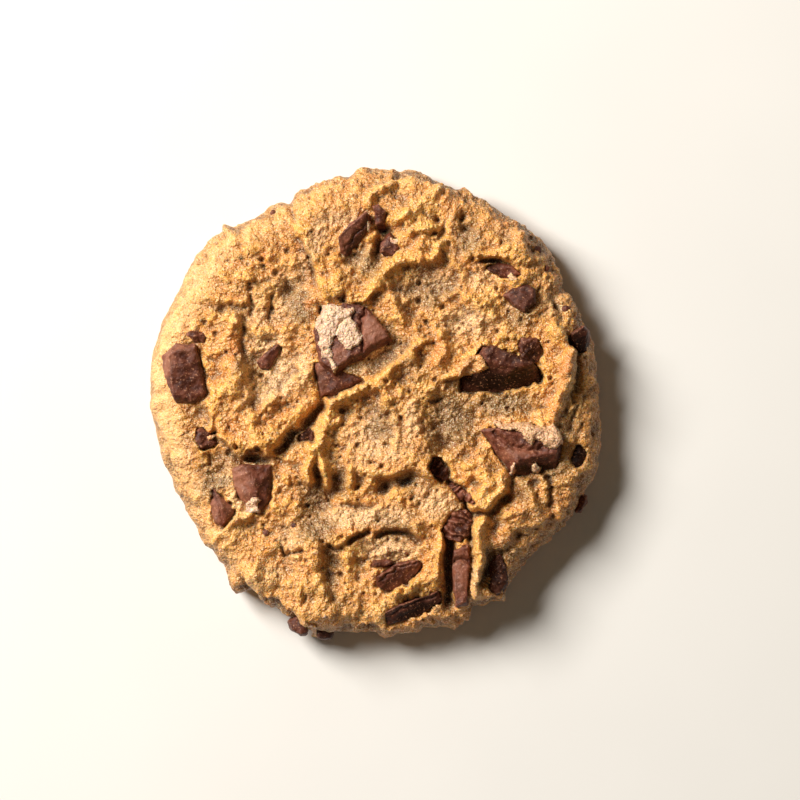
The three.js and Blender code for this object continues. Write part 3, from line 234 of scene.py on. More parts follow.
# Cracks and gaps
FURROWS = table("depth width path", [
    # crack beside the upper slab
    (1.4, 0.4, [[-15.1, 33.2], [-14.1, 30.4], [-13.1, 28], [-12.1, 25.6]]),
    # crevice left of the middle
    (3.6, 1.3,
     [[-10.1, 0.4], [-12.3, -2.4], [-14.3, -4.8], [-16.9, -6.8], [-19.3, -9.2]]),
    # slit above the lower bowl
    (1.8, 0.45, [[-8.9, -28.4], [-7.5, -29], [-6.3, -28.6]]),
    # slit, its middle
    (2.2, 0.55, [[-4.7, -27.2], [-3.3, -26], [-1.3, -25.6]]),
    # slit, its right half
    (2.8, 0.6,
     [[0.5, -26.6], [2.7, -25.4], [5.5, -25.4], [7.5, -26], [9.1, -27.4]]),
    # gap left of the upright bar
    (6, 1.15,
     [[14.9, -27.6], [15.1, -31.2], [14.9, -35.2], [14.9, -39.2], [15.3, -40.6]]),
    # channel through the melt
    (3.2, 0.8,
     [[14.5, -15.2], [16.7, -17.4], [18.5, -19.2], [19.1, -21.6], [18.7, -24.4], [19.3, -26.8]]),
    # gap beside the lower stub
    (2.4, 0.7, [[22.9, -30.4], [22.5, -33.2], [21.7, -35.8]]),
    # right crack
    (1.6, 0.45, [[35.1, -14.4], [34.9, -17.6], [34.7, -20.8], [35.7, -22.8]]),
    # lower left crack
    (1.1, 0.35, [[-19.3, -27.8], [-17.5, -30.2], [-14.5, -29.6]]),
    # lowest left crack
    (0.9, 0.3, [[-22.9, -33], [-20.5, -33.4], [-18.7, -33]]),
    # crease by the right edge
    (1.8, 0.55, [[40.5, 9], [40.9, 6.8], [40.9, 2.8]]),
    # slit above the right chip
    (2, 0.5, [[21.3, 28.4], [24.1, 28.2], [28.5, 27.8]]),
    # shade under the left slab
    (2.2, 0.8, [[-26.3, -12.2], [-23.9, -11.4], [-21.3, -11.6]]),
    # shade beside the left crest
    (1, 0.7, [[-26.1, 14.8], [-26.3, 11.8], [-26.1, 8.4]]),
    # groove in the upper left basin
    (1.1, 0.45, [[-25.3, 24], [-24.9, 21.2], [-24.5, 18]]),
    # second groove in the basin
    (0.8, 0.4, [[-19.9, 22.4], [-20.3, 19.6], [-20.9, 16.4]]),
    # crack by the lower rim
    (1, 0.35, [[-17.1, -37.8], [-15.5, -38.8], [-13.7, -39.2]]),
    # crack on the middle slab
    (0.9, 0.25, [[9.7, 1.2], [11.9, 0.6], [13.7, 1]]),
    # crack at the crest's end
    (0.9, 0.25, [[8.7, 12.4], [10.3, 11.4], [11.9, 12.2]]),
    # cut between the orange lumps
    (1.8, 0.8,
     [[18.9, -22], [21.1, -21.6], [22.9, -22], [24.5, -20.8], [26.3, -18.8]]),
    # cut right of the curled lump
    (1.3, 0.8, [[27.3, -14.2], [26.9, -17], [25.9, -19]]),
    # furrow in the slab above the bowl
    (0.7, 0.5, [[-8.9, -20.8], [-5.7, -20.4], [-2.5, -20.8], [-0.1, -20.2]]),
    # furrow at the far right
    (0.9, 0.5, [[39.3, 2.4], [39.9, -1.6], [39.3, -5.2]]),
    # furrow under the top crest
    (0.8, 0.5, [[0.7, 40.8], [2.7, 42.2], [4.7, 43.4]]),
    # furrow between the upper crests
    (1, 0.6, [[12.3, 32.8], [13.5, 34.4], [13.7, 36.8]]),
])

# Lumps and hollows, as ovals with half axes in size
MOUNDS = table("rise size turn at", [
    (-1.7, [6.8, 3.6], 10, [10.1, 23.6]),  # upper hollow
    (-1.7, [6.4, 6], 20, [-20.3, 7.6]),  # left bowl
    (-1.3, [7.2, 4.4], 40, [-18.5, 20.8]),  # upper left basin
    (-1.8, [7.6, 4], 20, [1.9, -31.6]),  # lower bowl
    (-1.7, [2.6, 5.6], 0, [-8.5, -34]),  # hollow right of the step
    (-3.2, [3.2, 2.8], 0, [-10.9, -19]),  # hollow under the forked flap
    (-1.4, [0.7, 1.8], 0, [-11.7, -14]),  # notch between its prongs
    (-1.6, [2.8, 1.6], 35, [-17.7, -9]),  # low ground below the crevice
    (-1.6, [0.8, 1.6], 0, [-2.9, -15.2]),  # reddish pit
    (-1.8, [2.2, 4], 0, [-6.9, -14.6]),  # hollow right of the flap
    (-0.9, [4, 1.8], 0, [-4.5, -1.6]),  # hollow on the middle slab
    (-1.9, [3, 2.2], 0, [1.9, 31.6]),  # hollow under the top chunks
    (-1.4, [3.2, 1.6], 30, [-3.7, 29.2]),  # hollow under the top bar
    (-3, [1.2, 0.9], 0, [1.9, 34.8]),  # black pit between the top chunks
    (-1.8, [0.8, 1.8], 0, [0.7, 29.6]),  # pit under the knob
    (-2, [1.2, 0.8], 35, [-30.7, 18.8]),  # pit by the left crest
    (-1, [2.8, 1], 0, [-27.7, 19.4]),  # shallow run below the pit
    (-1.7, [1.6, 1.4], 30, [-16.9, 22.8]),  # dark dimple
    (-1.3, [1, 0.6], 0, [-19.7, 26.4]),  # dark dimple under the fold
    (-2.4, [0.7, 0.7], 0, [-10.7, 18.6]),  # pit at the centre block
    (-2.6, [0.8, 0.9], 0, [-6.3, 21]),  # second pit at the centre block
    (-3, [0.9, 1.2], 10, [-33.3, 2.2]),  # pit beside the left block
    (-2, [0.7, 0.8], 0, [12.3, 37]),  # pit in the crust
    (-2, [0.8, 1], 0, [17.9, 37.8]),  # second pit in the crust
    (-2.2, [1, 0.8], 0, [18.5, 35]),  # third pit in the crust
    (-3.2, [1.8, 1.3], 0, [1.7, -16.8]),  # pit under the middle slab
    (-4.6, [2.5, 1.3], 5, [6.3, -15.6]),  # second pit under the middle slab
    (-1.6, [1.6, 1.4], 0, [14.7, -8.6]),  # pit right of the middle slab
    (-1.4, [1, 1], 0, [2.5, -2.4]),  # pit on the middle slab
    (-1.4, [2.8, 5.2], 0, [12.7, -4.8]),  # valley right of the middle
    (-1.3, [4, 2.4], 20, [-30.5, -11.6]),  # low ground at the left
    (-0.8, [1.8, 3.2], 0, [-35.5, -2.8]),  # low ground beside the melt
    (-1.2, [4.8, 1.8], 25, [0.7, 8.8]),  # hollow under the centre block
    (1, [2.4, 2], 0, [14.9, 40.2]),  # crust lump
    (1.1, [1.2, 2.4], -10, [15.5, 35.2]),  # second crust lump
    (1, [2.4, 1.6], -20, [25.1, 36.4]),  # lump beside the round one
    (1.8, [1.6, 1.6], 0, [29.5, 33]),  # round lump at the upper right
    (-1.6, [1.2, 0.8], 0, [31.7, 30.6]),  # dark dip right of it
    (0.8, [2.2, 1], -20, [27.5, 24.6]),  # lump below the right chip
    (1.1, [2.2, 1.8], 0, [39.1, 21.4]),  # lobe at the right edge
    (-1.8, [1, 1.4], 30, [36.7, 20]),  # dip inside the lobe
    (1.6, [1.8, 1.8], 0, [24.5, -16]),  # orange lump
    (1.2, [1.6, 2.8], 0, [21.9, -26.8]),  # clump in the strip
    (2.1, [2.4, 1.8], -20, [28.1, -21.6]),  # third orange lump
    (1.9, [1.8, 2], 0, [25.7, -27]),  # fourth orange lump
    (-1.3, [1.6, 1.6], 0, [29.1, -26.2]),  # dip right of the orange lumps
    (0.9, [2.2, 1.6], 30, [30.7, -24.6]),  # lump at the lower right
    (2, [3.4, 1.4], -8, [33.3, -5.6]),  # dough on the right block
    (1.3, [1.8, 1.4], 0, [27.1, -2.8]),  # dough left of it
    (1.6, [2.2, 1.6], 10, [22.7, -38]),  # lump at the lower edge
    (0.7, [4.4, 6], 0, [-30.5, 3.8]),  # left shoulder of dough
    (0.8, [5.2, 2.8], 30, [-22.5, -5.2]),  # swelling between the bowls
    (0.9, [1.4, 1.2], 0, [-23.5, -10]),  # ball under the left slab
    (1, [1.6, 1], 0, [-8.1, 0.8]),  # tongue tip of the long crest
    (1.3, [1.6, 1], 20, [-12.7, 20.4]),  # lump by the centre block
    (1.1, [3.6, 2], 25, [8.7, 31.6]),  # lump between the upper crests
    (1, [2, 1.8], 0, [-12.5, -8.8]),  # lump at the fork
    (1, [2.6, 2], 0, [-4.5, -37.6]),  # lump at the lower middle
    (1, [2.4, 2.4], 0, [12.3, 9.6]),  # lump at the middle's right
    (1, [2.2, 1.8], 0, [12.5, 3.2]),  # second lump there
    (1.2, [2.2, 2], 0, [19.1, -12.4]),  # lump left of the melt
    (1, [2.8, 1.4], 0, [-4.9, -41.6]),  # lump at the bottom
    (-1.3, [5.2, 6], 0, [17.7, -2.4]),  # low ground right of the middle slab
    (-2, [2.6, 1], 0, [-24.5, -11]),  # gap above the lower left block
    (0.7, [2.4, 1.6], 30, [4.3, 26]),  # rise beside the hooked crest
    (0.7, [3.6, 2.4], 20, [9.9, 37.6]),  # rise at the upper right crest
    (-0.9, [1.8, 1.2], 0, [-8.9, -40.6]),  # dip at the bottom
    (0.7, [2.4, 1.8], 0, [-22.5, -34.6]),  # lump above the lower rim
    (0.8, [1.2, 1.2], 0, [-21.5, 20.4]),  # knob in the upper left basin
    (0.7, [1, 1.4], 0, [-27.7, 16.4]),  # pebble in the upper left basin
])

# Small lobes on the crests and lumps
LOBES = table("rise size turn at", [
    (1, [1, 1], 0, [20.9, -25.2]),  # strip, from its top down
    (0.9, [1.2, 1], 0, [22.1, -27.4]),  # strip
    (0.9, [0.9, 1], 0, [20.3, -29]),  # strip
    (1.1, [1, 0.8], 0, [21.7, -30.4]),  # strip
    (1, [1, 0.9], 0, [19.9, -32.2]),  # strip
    (0.9, [1, 1], 0, [20.9, -34.4]),  # strip
    (1.1, [1, 1], 0, [19.5, -36.8]),  # strip
    (1.3, [1.4, 1], 0, [21.9, -37.2]),  # foot of the strip
    (0.9, [1.2, 1], 0, [24.1, -36.8]),  # foot of the strip
    (0.9, [1.4, 1.2], 0, [21.5, -17.2]),  # curled lump
    (1, [1.6, 1.2], 0, [24.3, -18.6]),  # curled lump
    (0.8, [1.2, 1], 0, [22.9, -20.4]),  # curled lump
    (0.9, [1.2, 1.2], 0, [26.5, -22]),  # third lump
    (0.9, [1.4, 1.2], 0, [28.3, -24]),  # third lump
    (0.9, [1.4, 1.4], 0, [30.7, -20.6]),  # beside it
    (0.9, [1.2, 1.2], 0, [25.7, -25.8]),  # fourth lump
    (0.8, [1.2, 1], 0, [24.3, -28.2]),  # fourth lump
    (0.8, [1.6, 1.2], 0, [33.1, -23.2]),  # right of it
    (0.8, [1.2, 1], 0, [30.3, -28.2]),  # below them
    (0.8, [1, 1.4], 0, [13.3, -28.4]),  # left of the upright bar
    (0.7, [1, 1.2], 0, [13.1, -31.6]),  # left of the upright bar
    (0.8, [1, 1.2], 0, [12.7, -34.6]),  # left of the upright bar
    (0.8, [1.4, 1], 0, [-8.7, 1]),  # tip of the tongue
    (0.6, [1.4, 0.8], 30, [-4.5, 1.6]),  # tongue
    (0.6, [1.4, 0.8], 30, [0.3, 3.6]),  # tongue
    (0.8, [1.4, 1], 0, [-11.3, 0.4]),  # left slab's edge
    (0.8, [1.4, 1.2], 0, [-14.1, -2]),  # left slab's edge
    (0.9, [1.4, 1], 0, [-17.7, -3.2]),  # left slab's edge
    (0.8, [1.4, 1.2], 0, [-20.5, -5.6]),  # left slab's edge
    (0.9, [1.2, 1], 0, [-22.5, -7.8]),  # left slab's edge
    (0.8, [1, 1.2], 0, [38.3, 10.4]),  # long right crest
    (0.8, [1, 1.4], 0, [38.1, 6.8]),  # long right crest
    (0.8, [1, 1.2], 0, [36.9, 2.8]),  # long right crest
])

# Chunks of chocolate with clear corners
BLOCKS = table("name top depth flare face", [
    ("centre_block", 15.3, 6.5, [1.2, -2.2],
     [[-6.1, 20.2, -0.6], [-1.9, 19.6, -0.4], [0.3, 17.2, 0], [2.9, 13.4, 0.1],
      [-2.5, 10.6, 0.5], [-6.3, 8, 0.5], [-8.3, 6.4, 0.2], [-11.1, 8.4, -0.5],
      [-12.3, 14.6, -0.8], [-10.3, 18.4, -0.8]]),
    ("centre_low", 13.3, 4, [0.2, -0.4],
     [[-12.1, 8.4], [-8.9, 8.4], [-5.3, 6.4], [-2.5, 4.8, -0.4], [-6.7, 2.6, -0.4],
      [-10.7, 1.4]]),
    ("left_block", 14.3, 6, [0.5, -0.5],
     [[-41.3, 10], [-39.3, 11.2, -0.1], [-35.7, 11.8, -0.3], [-34.3, 6.8, -1.1],
      [-33.7, 2.4, -1.3], [-35.5, 0.4, -1.2], [-40.1, 1, -0.4], [-42.5, 9.6, -1.4],
      [-39.7, 12.1, -1.1], [-41.9, 6, -1.4], [-39.7, 0.2, -1.5]]),
    ("top_bar", 15, 5.2, [0.6, -0.8],
     [[-7.3, 33.4], [-5.3, 35.6], [-3.3, 37.2], [-1.5, 38.5], [-0.7, 35.4, -1.4],
      [-3.3, 32.2, -1.6], [-5.7, 29.8, -1.5], [-6.9, 30.4, -1]]),
    ("top_block", 14.8, 4.8, [0.5, -0.8],
     [[-0.5, 39.5], [0.7, 39.8], [2.3, 38.4], [1.7, 36, -0.8], [0.3, 35.5, -0.8]]),
    ("lower_left_block", 14, 5.8, [0.3, -0.6],
     [[-28.7, -13, -0.7], [-26.3, -12, 0.5], [-20.7, -12.2, -0.7], [-20.5, -16.4, -0.8],
      [-21.3, -19.6, -0.9], [-22.9, -22, -0.8], [-23.3, -18, 0.6], [-27.7, -18, -0.9]]),
    ("lower_left_small", 12.8, 4.5, [0.2, -0.3],
     [[-32.3, -16.6], [-30.3, -20.4, 0.9], [-28.1, -20.8, -0.2], [-28.7, -22.6, -0.3],
      [-30.3, -24.4, -0.2], [-31.9, -24, -0.6], [-32.9, -20.2, -0.6]]),
    ("upper_right_block", 14.2, 4.6, [0.3, -0.7],
     [[25.7, 21.8, -0.5], [27.5, 23.2, -0.3], [30.3, 24, -0.2], [31.9, 23], [32.1, 20.2],
      [29.7, 18.4, 0.4], [27.7, 19.8, 0.2]]),
    ("right_bar", 15.4, 8.6, [0, -0.2],
     [[21.7, 11.4, -0.1], [23.3, 11.8], [31.5, 8.2], [28.5, 7.2, -0.1], [22.3, 8.8, -0.1],
      [17.1, 5.2, -4.2], [17.3, 2.6, -5], [25.1, 2.4, -5], [33.3, 4.6, -4.6],
      [33.3, 6.2, -3.4]]),
    ("right_edge", 12.2, 4.6, [0.2, -0.3],
     [[39.1, 14.2], [41.7, 15.6, 0.1], [42.7, 14.6, -0.6], [42.3, 10.6, -2.2],
      [40.5, 10.2, -2], [39.1, 12.2, -1.6]]),
    ("lower_right_block", 14.9, 6, [0.2, -0.3],
     [[23.7, -4.8, 0.1], [31.1, -4.2], [37.7, -6.6, -0.1], [36.7, -9.6, 0.1],
      [28.3, -11.6, 0.4], [21.3, -5.2, -1.2], [27.1, -13.6, -1.5], [35.9, -12.8, -2.8],
      [29.9, -14.2, -2.8]]),
    ("upright_bar", 14, 5.5, [0.4, -0.2],
     [[15.7, -29.2, 0.2], [18.7, -28, 0.2], [19.1, -31.2], [18.5, -39.8, -0.2],
      [16.3, -40.4, -0.4], [15.5, -34.2, -0.3]]),
    ("lower_lens", 13.4, 4, [0, -0.2],
     [[0.3, -34.4], [4.7, -31.8], [8.9, -31], [9.5, -32.6, -0.8], [6.5, -35.8, -1.4],
      [2.3, -37.6, -1.5], [0.5, -36, -0.6]]),
    ("left_shard", 12.5, 3, [0.1, -0.2],
     [[-23.5, 8.4, -0.3], [-22.1, 9.8], [-19.3, 12], [-18.5, 11.4, -0.4], [-19.9, 9, -0.5],
      [-21.3, 6.6, -0.5], [-22.5, 6.8, -0.5]]),
    ("right_melt", 13.2, 3.6, [0.2, -0.3],
     [[29.3, 13.2], [32.7, 13, -0.2], [33.5, 10.8, -1], [32.9, 8.4, -1.2], [31.1, 7.8, -0.9],
      [29.3, 9.4], [28.9, 11.4]]),
    ("bottom_bar", 13.2, 4.8, [0.2, -0.3],
     [[1.9, -41.6, -0.4], [5.1, -40], [12.5, -37.4], [13.3, -39.2, -1.2], [9.1, -42.2, -2],
      [2.7, -44.2, -2.4]]),
])

# Smaller chips of rounded outline
CHIPS = table("name top depth size turn at", [
    ("hollow_chip", 12.8, 3.6, [5, 3.6], 80, [2.9, 31.6]),
    ("left_chip", 13.6, 3, [3.6, 2], -20, [-35.8, 13.6]),
    ("left_melt", 12.5, 3.2, [4.8, 4], -30, [-33.7, -7.2]),
    ("crevice_chip", 11.4, 2.8, [3.2, 2.8], 20, [-13.5, -6.4]),
    ("upper_right_chip", 12.1, 3.2, [7, 2.8], -14, [25.7, 26.6]),
    ("edge_oval", 10.8, 3.4, [4.6, 2.8], 75, [40.8, -10.5]),
    ("melt_upper", 12.2, 3.2, [5, 3.6], -50, [13.1, -13.2]),
    ("melt_trail", 12.2, 3, [6, 2.4], -38, [17.5, -17.8]),
    ("melt_crinkled", 12.8, 3.6, [6.8, 5.2], 60, [16.7, -24.4]),
    ("lower_stub", 12.2, 4, [8.4, 4], 85, [24.7, -34.2]),
    ("lens_rim", 13, 2.6, [4, 1.4], 10, [1.5, -31.8]),
    ("edge_chip", 8.2, 4, [4.6, 3.6], -60, [-15.1, -44.2]),
    ("edge_low", 7, 3.4, [3.8, 2.4], -10, [-10.1, -46]),
    ("edge_sliver", 6.2, 3, [4, 1.8], 70, [41.5, -20]),
])

# Small specks of chocolate
SPECKS = table("radius at", [
    (0.8, [-21.8, -25.8]),
    (0.6, [-15.9, -24.3]),
    (0.7, [34.3, 27.2]),
    (0.9, [32.5, 30.8]),
    (0.8, [38.3, 19]),
    (0.6, [-20.3, 38.2]),
])

# Painted shadow deep in gaps and pits, together with dough soaked dark by chocolate there
GAP_SHADOW_AND_MELT = table("strength size turn at", [
    (1, [8, 1], 2, [22.3, 1.2]),  # under the right bar's front
    (0.9, [1, 2], 20, [16.1, 2.4]),  # left end of it
    (1, [1.2, 2], 0, [33.7, 4.2]),  # right end of the right bar
    (0.9, [0.8, 2.4], 0, [29.1, 10.4]),  # beside the right melt
    (1, [0.8, 4.8], 0, [14.7, -36.4]),  # left of the upright bar
    (1, [1.4, 1.8], 0, [13.5, -39.6]),  # right of the bottom bar
    (1, [2.4, 1], 5, [6.5, -15.8]),  # second pit under the middle slab
    (0.7, [1.8, 1], 0, [1.9, -17]),  # first pit there
    (0.9, [0.8, 4.4], -4, [-33.9, 6]),  # right of the left block
    (1, [1, 1], 0, [1.9, 34.8]),  # between the top chunks
    (0.7, [2.4, 0.8], 0, [-24.1, -11]),  # above the lower left block
    (0.9, [3.2, 0.6], 12, [23.1, 28.2]),  # right slit
    (0.8, [1.8, 1.2], -40, [12.3, -11.4]),  # beside the upper melt
    (0.8, [1.2, 1.4], 30, [16.9, -20.6]),  # between the melts
    (0.8, [0.8, 3.6], 0, [20.1, -23.2]),  # right of the crinkled melt
    (0.7, [1.4, 1.2], 0, [-13.9, -6.6]),  # crevice chip
    (1, [4, 1.4], 32, [-16.9, -6.4]),  # cavity by the crevice chip
    (0.8, [0.8, 1.6], 0, [3.5, 37.6]),  # right of the top block
    (0.9, [0.8, 0.8], 0, [-10.7, 18.6]),  # pit by the centre block
    (1, [0.8, 0.8], 0, [-6.3, 20.8]),  # second pit by the centre block
    (0.8, [4.8, 0.8], 0, [34.1, -15.6]),  # below the lower right block
    (0.8, [0.8, 2.4], 0, [38.7, 10.4]),  # right of the right edge
    (0.7, [0.8, 2], 0, [39.7, 6.4]),  # right crack
    (0.8, [1, 5.2], 5, [22.9, -34.8]),  # round the lower stub
    (0.5, [3.6, 0.8], 45, [-2.7, 31.8]),  # below the top bar
    (0.6, [2.8, 0.6], 25, [-3.7, 5]),  # right of the low centre one
    (0.6, [0.8, 4], 8, [-19.5, -17.2]),  # right of the lower left block
])

# Where melted chocolate is dark and smooth, and painted shade on faces turned from the lamp
MELT_AND_PAINTED_SHADE = table("strength size turn at", [
    (1, [9.2, 2.6], 0, [25.1, 4.6]),  # front of the right bar
    (0.8, [2.4, 3], 0, [31.5, 10]),  # right melt
    (1, [2.4, 2.4], 0, [40.7, 11.6]),  # front of the right edge
    (0.9, [6, 1.3], 0, [33.1, -13.2]),  # front of the lower right block
    (0.8, [1, 3.6], 0, [38.1, -8.4]),  # its right side
    (1, [2.4, 3.2], 0, [40.7, -10.6]),  # edge oval
    (0.95, [6.4, 1.2], 23, [8.3, -41.4]),  # front of the bottom bar
    (0.7, [2.8, 4.8], 0, [25.1, -34.6]),  # lower stub
    (0.6, [2.8, 3.2], 0, [12.7, -13.2]),  # upper melt
    (0.8, [1.8, 1.8], 0, [-13.5, -6.4]),  # crevice chip
    (0.35, [3.4, 4.8], -10, [-36.9, 5.6]),  # left block's face
    (0.7, [2, 1.6], 0, [23.1, 27.2]),  # upper right chip
    (0.5, [1.8, 1.8], 0, [2.9, 30.8]),  # hollow chip
    (0.5, [1.8, 2.8], 0, [17.9, -24.8]),  # crinkled melt
    (0.4, [2.8, 2.8], 0, [-34.3, -7.2]),  # left melt
    (0.3, [2.8, 1], 0, [1.5, -31.8]),  # lens rim
    (0.5, [1.6, 4.4], 10, [-20.9, -16.8]),  # lower left block's right side
    (0.5, [4.4, 0.8], 48, [-3.3, 32.8]),  # top bar's lower side
    (0.4, [6, 2.4], 0, [-12.5, -45.2]),  # lower chips at the edge
    (0.9, [1.4, 2.8], 0, [33.1, 6]),  # right end of the right bar
    (0.6, [5.2, 1.8], -8, [27.5, 9.6]),  # top of the right bar
    (0.5, [3, 2.8], 0, [29.3, 21.2]),  # upper right block
    (0.35, [5.2, 2.6], 20, [4.7, -35.2]),  # lens
    (0.35, [7.6, 2], 22, [8.3, -39.8]),  # bottom bar
    (0.3, [5.6, 3.2], 0, [-7.7, 4.8]),  # low centre one
])

# Painted light: faces of the chocolate painted paler where the lamp falls on them
PAINTED_LIGHT_FACES = table("strength size turn at", [
    (0.8, [2.2, 3.6], -25, [-0.1, 15]),  # right face of the centre block
    (0.9, [3, 4.8], 0, [-28.1, -16.6]),  # lower left block's left half
    (0.8, [1, 4.8], -12, [-41.7, 7.6]),  # left block's left edge
    (0.6, [3.6, 0.8], -25, [-39.3, 11.8]),  # left block's upper edge
    (0.5, [5.2, 1.2], 18, [28.7, -9.6]),  # lower right block's top edge
    (0.6, [1.4, 2.8], 0, [-32.3, -22]),  # small lower left one's left side
    (0.5, [1, 3.2], 10, [-10.9, 5.6]),  # low centre one's upper edge
    (0.5, [1.4, 4.8], 0, [16.9, -33.6]),  # upright bar's front
    (0.4, [0.8, 3.6], -30, [-5.7, 32.8]),  # top bar's left edge
    (0.6, [2, 2], 0, [-6.9, 9.4]),  # centre block's lower corner
])

# Breaks in the faces of chunks
BREAKS = table("on depth width path", [
    # crack in the centre block
    ("centre_block", 0.7, 0.35,
     [[-1.5, 19.4], [-2.5, 16.8], [-2.7, 14], [-2.3, 10.8]]),
    # ledge of the lower right block
    ("lower_right_block", 0.8, 0.5,
     [[23.9, -5.6], [27.1, -8.4], [31.1, -9.2], [35.5, -8]]),
    # groove in the lower lens
    ("lower_lens", 0.35, 0.3, [[1.5, -34.8], [4.3, -32.8], [8.3, -31.6]]),
    # groove in the bottom bar
    ("bottom_bar", 0.35, 0.3, [[2.7, -42], [7.1, -40], [12.3, -38]]),
    # break in the upright bar
    ("upright_bar", 0.7, 0.5, [[15.5, -31.4], [17.3, -30.8], [19.1, -31.4]]),
    # crease in the top bar
    ("top_bar", 0.3, 0.3, [[-5.9, 31.4], [-4.1, 33.6], [-1.7, 36.4]]),
    # groove in the small lower left one
    ("lower_left_small", 0.4, 0.4,
     [[-32.1, -17.2], [-30.9, -20], [-30.1, -23.2]]),
])

# Dough and cream that lies on the chunks
SMEARS = table("thick cream outline", [
    # left smear on the centre block
    (1.1, 1,
     [[-11.7, 17], [-10.5, 19.6], [-8.1, 20.2], [-5.9, 19.4], [-4.3, 19.4], [-3.7, 18.4],
      [-4.7, 16.8], [-6.3, 16.6], [-7.3, 14.8], [-8.1, 12.2], [-8.9, 10.8], [-10.5, 10.2],
      [-11.7, 11.8], [-11.1, 13.6], [-11.9, 15.2]]),
    # its lower run
    (0.8, 1,
     [[-10.9, 10.8], [-8.7, 11.6], [-8.1, 9.2], [-7.3, 7.2], [-7.9, 6], [-8.7, 7],
      [-9.3, 8.6], [-10.7, 9]]),
    # right smear on the centre block
    (1.2, 1,
     [[-7.3, 16], [-5.7, 17.4], [-4.5, 18], [-3.9, 16.8], [-2.9, 14.8], [-2.1, 12.8],
      [-3.3, 11.6], [-4.5, 10.4], [-5.9, 10.8], [-6.7, 12.4], [-7.9, 13.8]]),
    # cream on the lower left block
    (0.9, 1,
     [[-25.7, -19.6], [-24.9, -18.4], [-23.3, -18.4], [-22.3, -19.2], [-23.1, -20.6],
      [-22.7, -21.6], [-24.3, -22.2], [-25.9, -21.4]]),
    # curl on the top bar
    (0.7, 0.9,
     [[-1.5, 36.6], [-0.7, 36.6], [-0.5, 35.4], [-0.7, 34], [-1.5, 34], [-1.5, 35.2]]),
    # dough over the right block
    (1.5, 0.6,
     [[23.7, -2.6], [25.7, -3.8], [28.1, -3.6], [30.5, -3.6], [33.1, -4.4], [35.5, -3.6],
      [37.5, -5.2], [37.7, -7.8], [36.5, -9.2], [34.7, -9.2], [33.3, -7.8], [32.1, -6.8],
      [31.5, -8.2], [30.3, -7.6], [29.3, -6.2], [27.5, -5.4], [25.1, -5.2], [23.5, -4]]),
    # crumb at the right block
    (1.2, 0.8,
     [[31.1, -12], [32.5, -11.8], [33.5, -12.6], [32.5, -14.4], [31.3, -13.6]]),
    # second crumb there
    (1, 0.8,
     [[26.9, -12], [27.9, -11.6], [28.1, -13], [28.7, -14.2], [27.1, -14.6]]),
    # flap over the right bar
    (1.2, 0.1,
     [[16.1, 7.6], [18.7, 10], [21.1, 9.8], [22.3, 8.6], [22.9, 7.2], [21.1, 6],
      [19.1, 5.6], [16.7, 5.2]]),
    # crumb on the upper right chip
    (0.8, 0.7, [[26.1, 25.4], [27.5, 26.2], [28.5, 25], [26.9, 24.2]]),
    # cream on the hollow chip
    (0.6, 0.9, [[3.3, 33.2], [4.9, 33], [4.3, 31.6], [2.9, 32.2]]),
    # crumb at the lower rim
    (1.2, 1,
     [[-10.5, -42], [-9.5, -41.8], [-9.1, -42.8], [-9.9, -43.2], [-10.7, -42.8]]),
    # crumb on the lowest chip
    (1, 0.5, [[-8.1, -45], [-6.7, -44.8], [-6.5, -45.8], [-7.7, -46.2]]),
    # dough between the lowest chips
    (1.6, 0.2,
     [[-14.1, -43.2], [-11.3, -44.4], [-11.5, -47.2], [-12.7, -46.8], [-13.3, -45.2]]),
    # dough on the left melt
    (0.8, 0.3, [[-33.5, -6.4], [-31.3, -6], [-32.1, -7.4], [-33.3, -7.4]]),
])

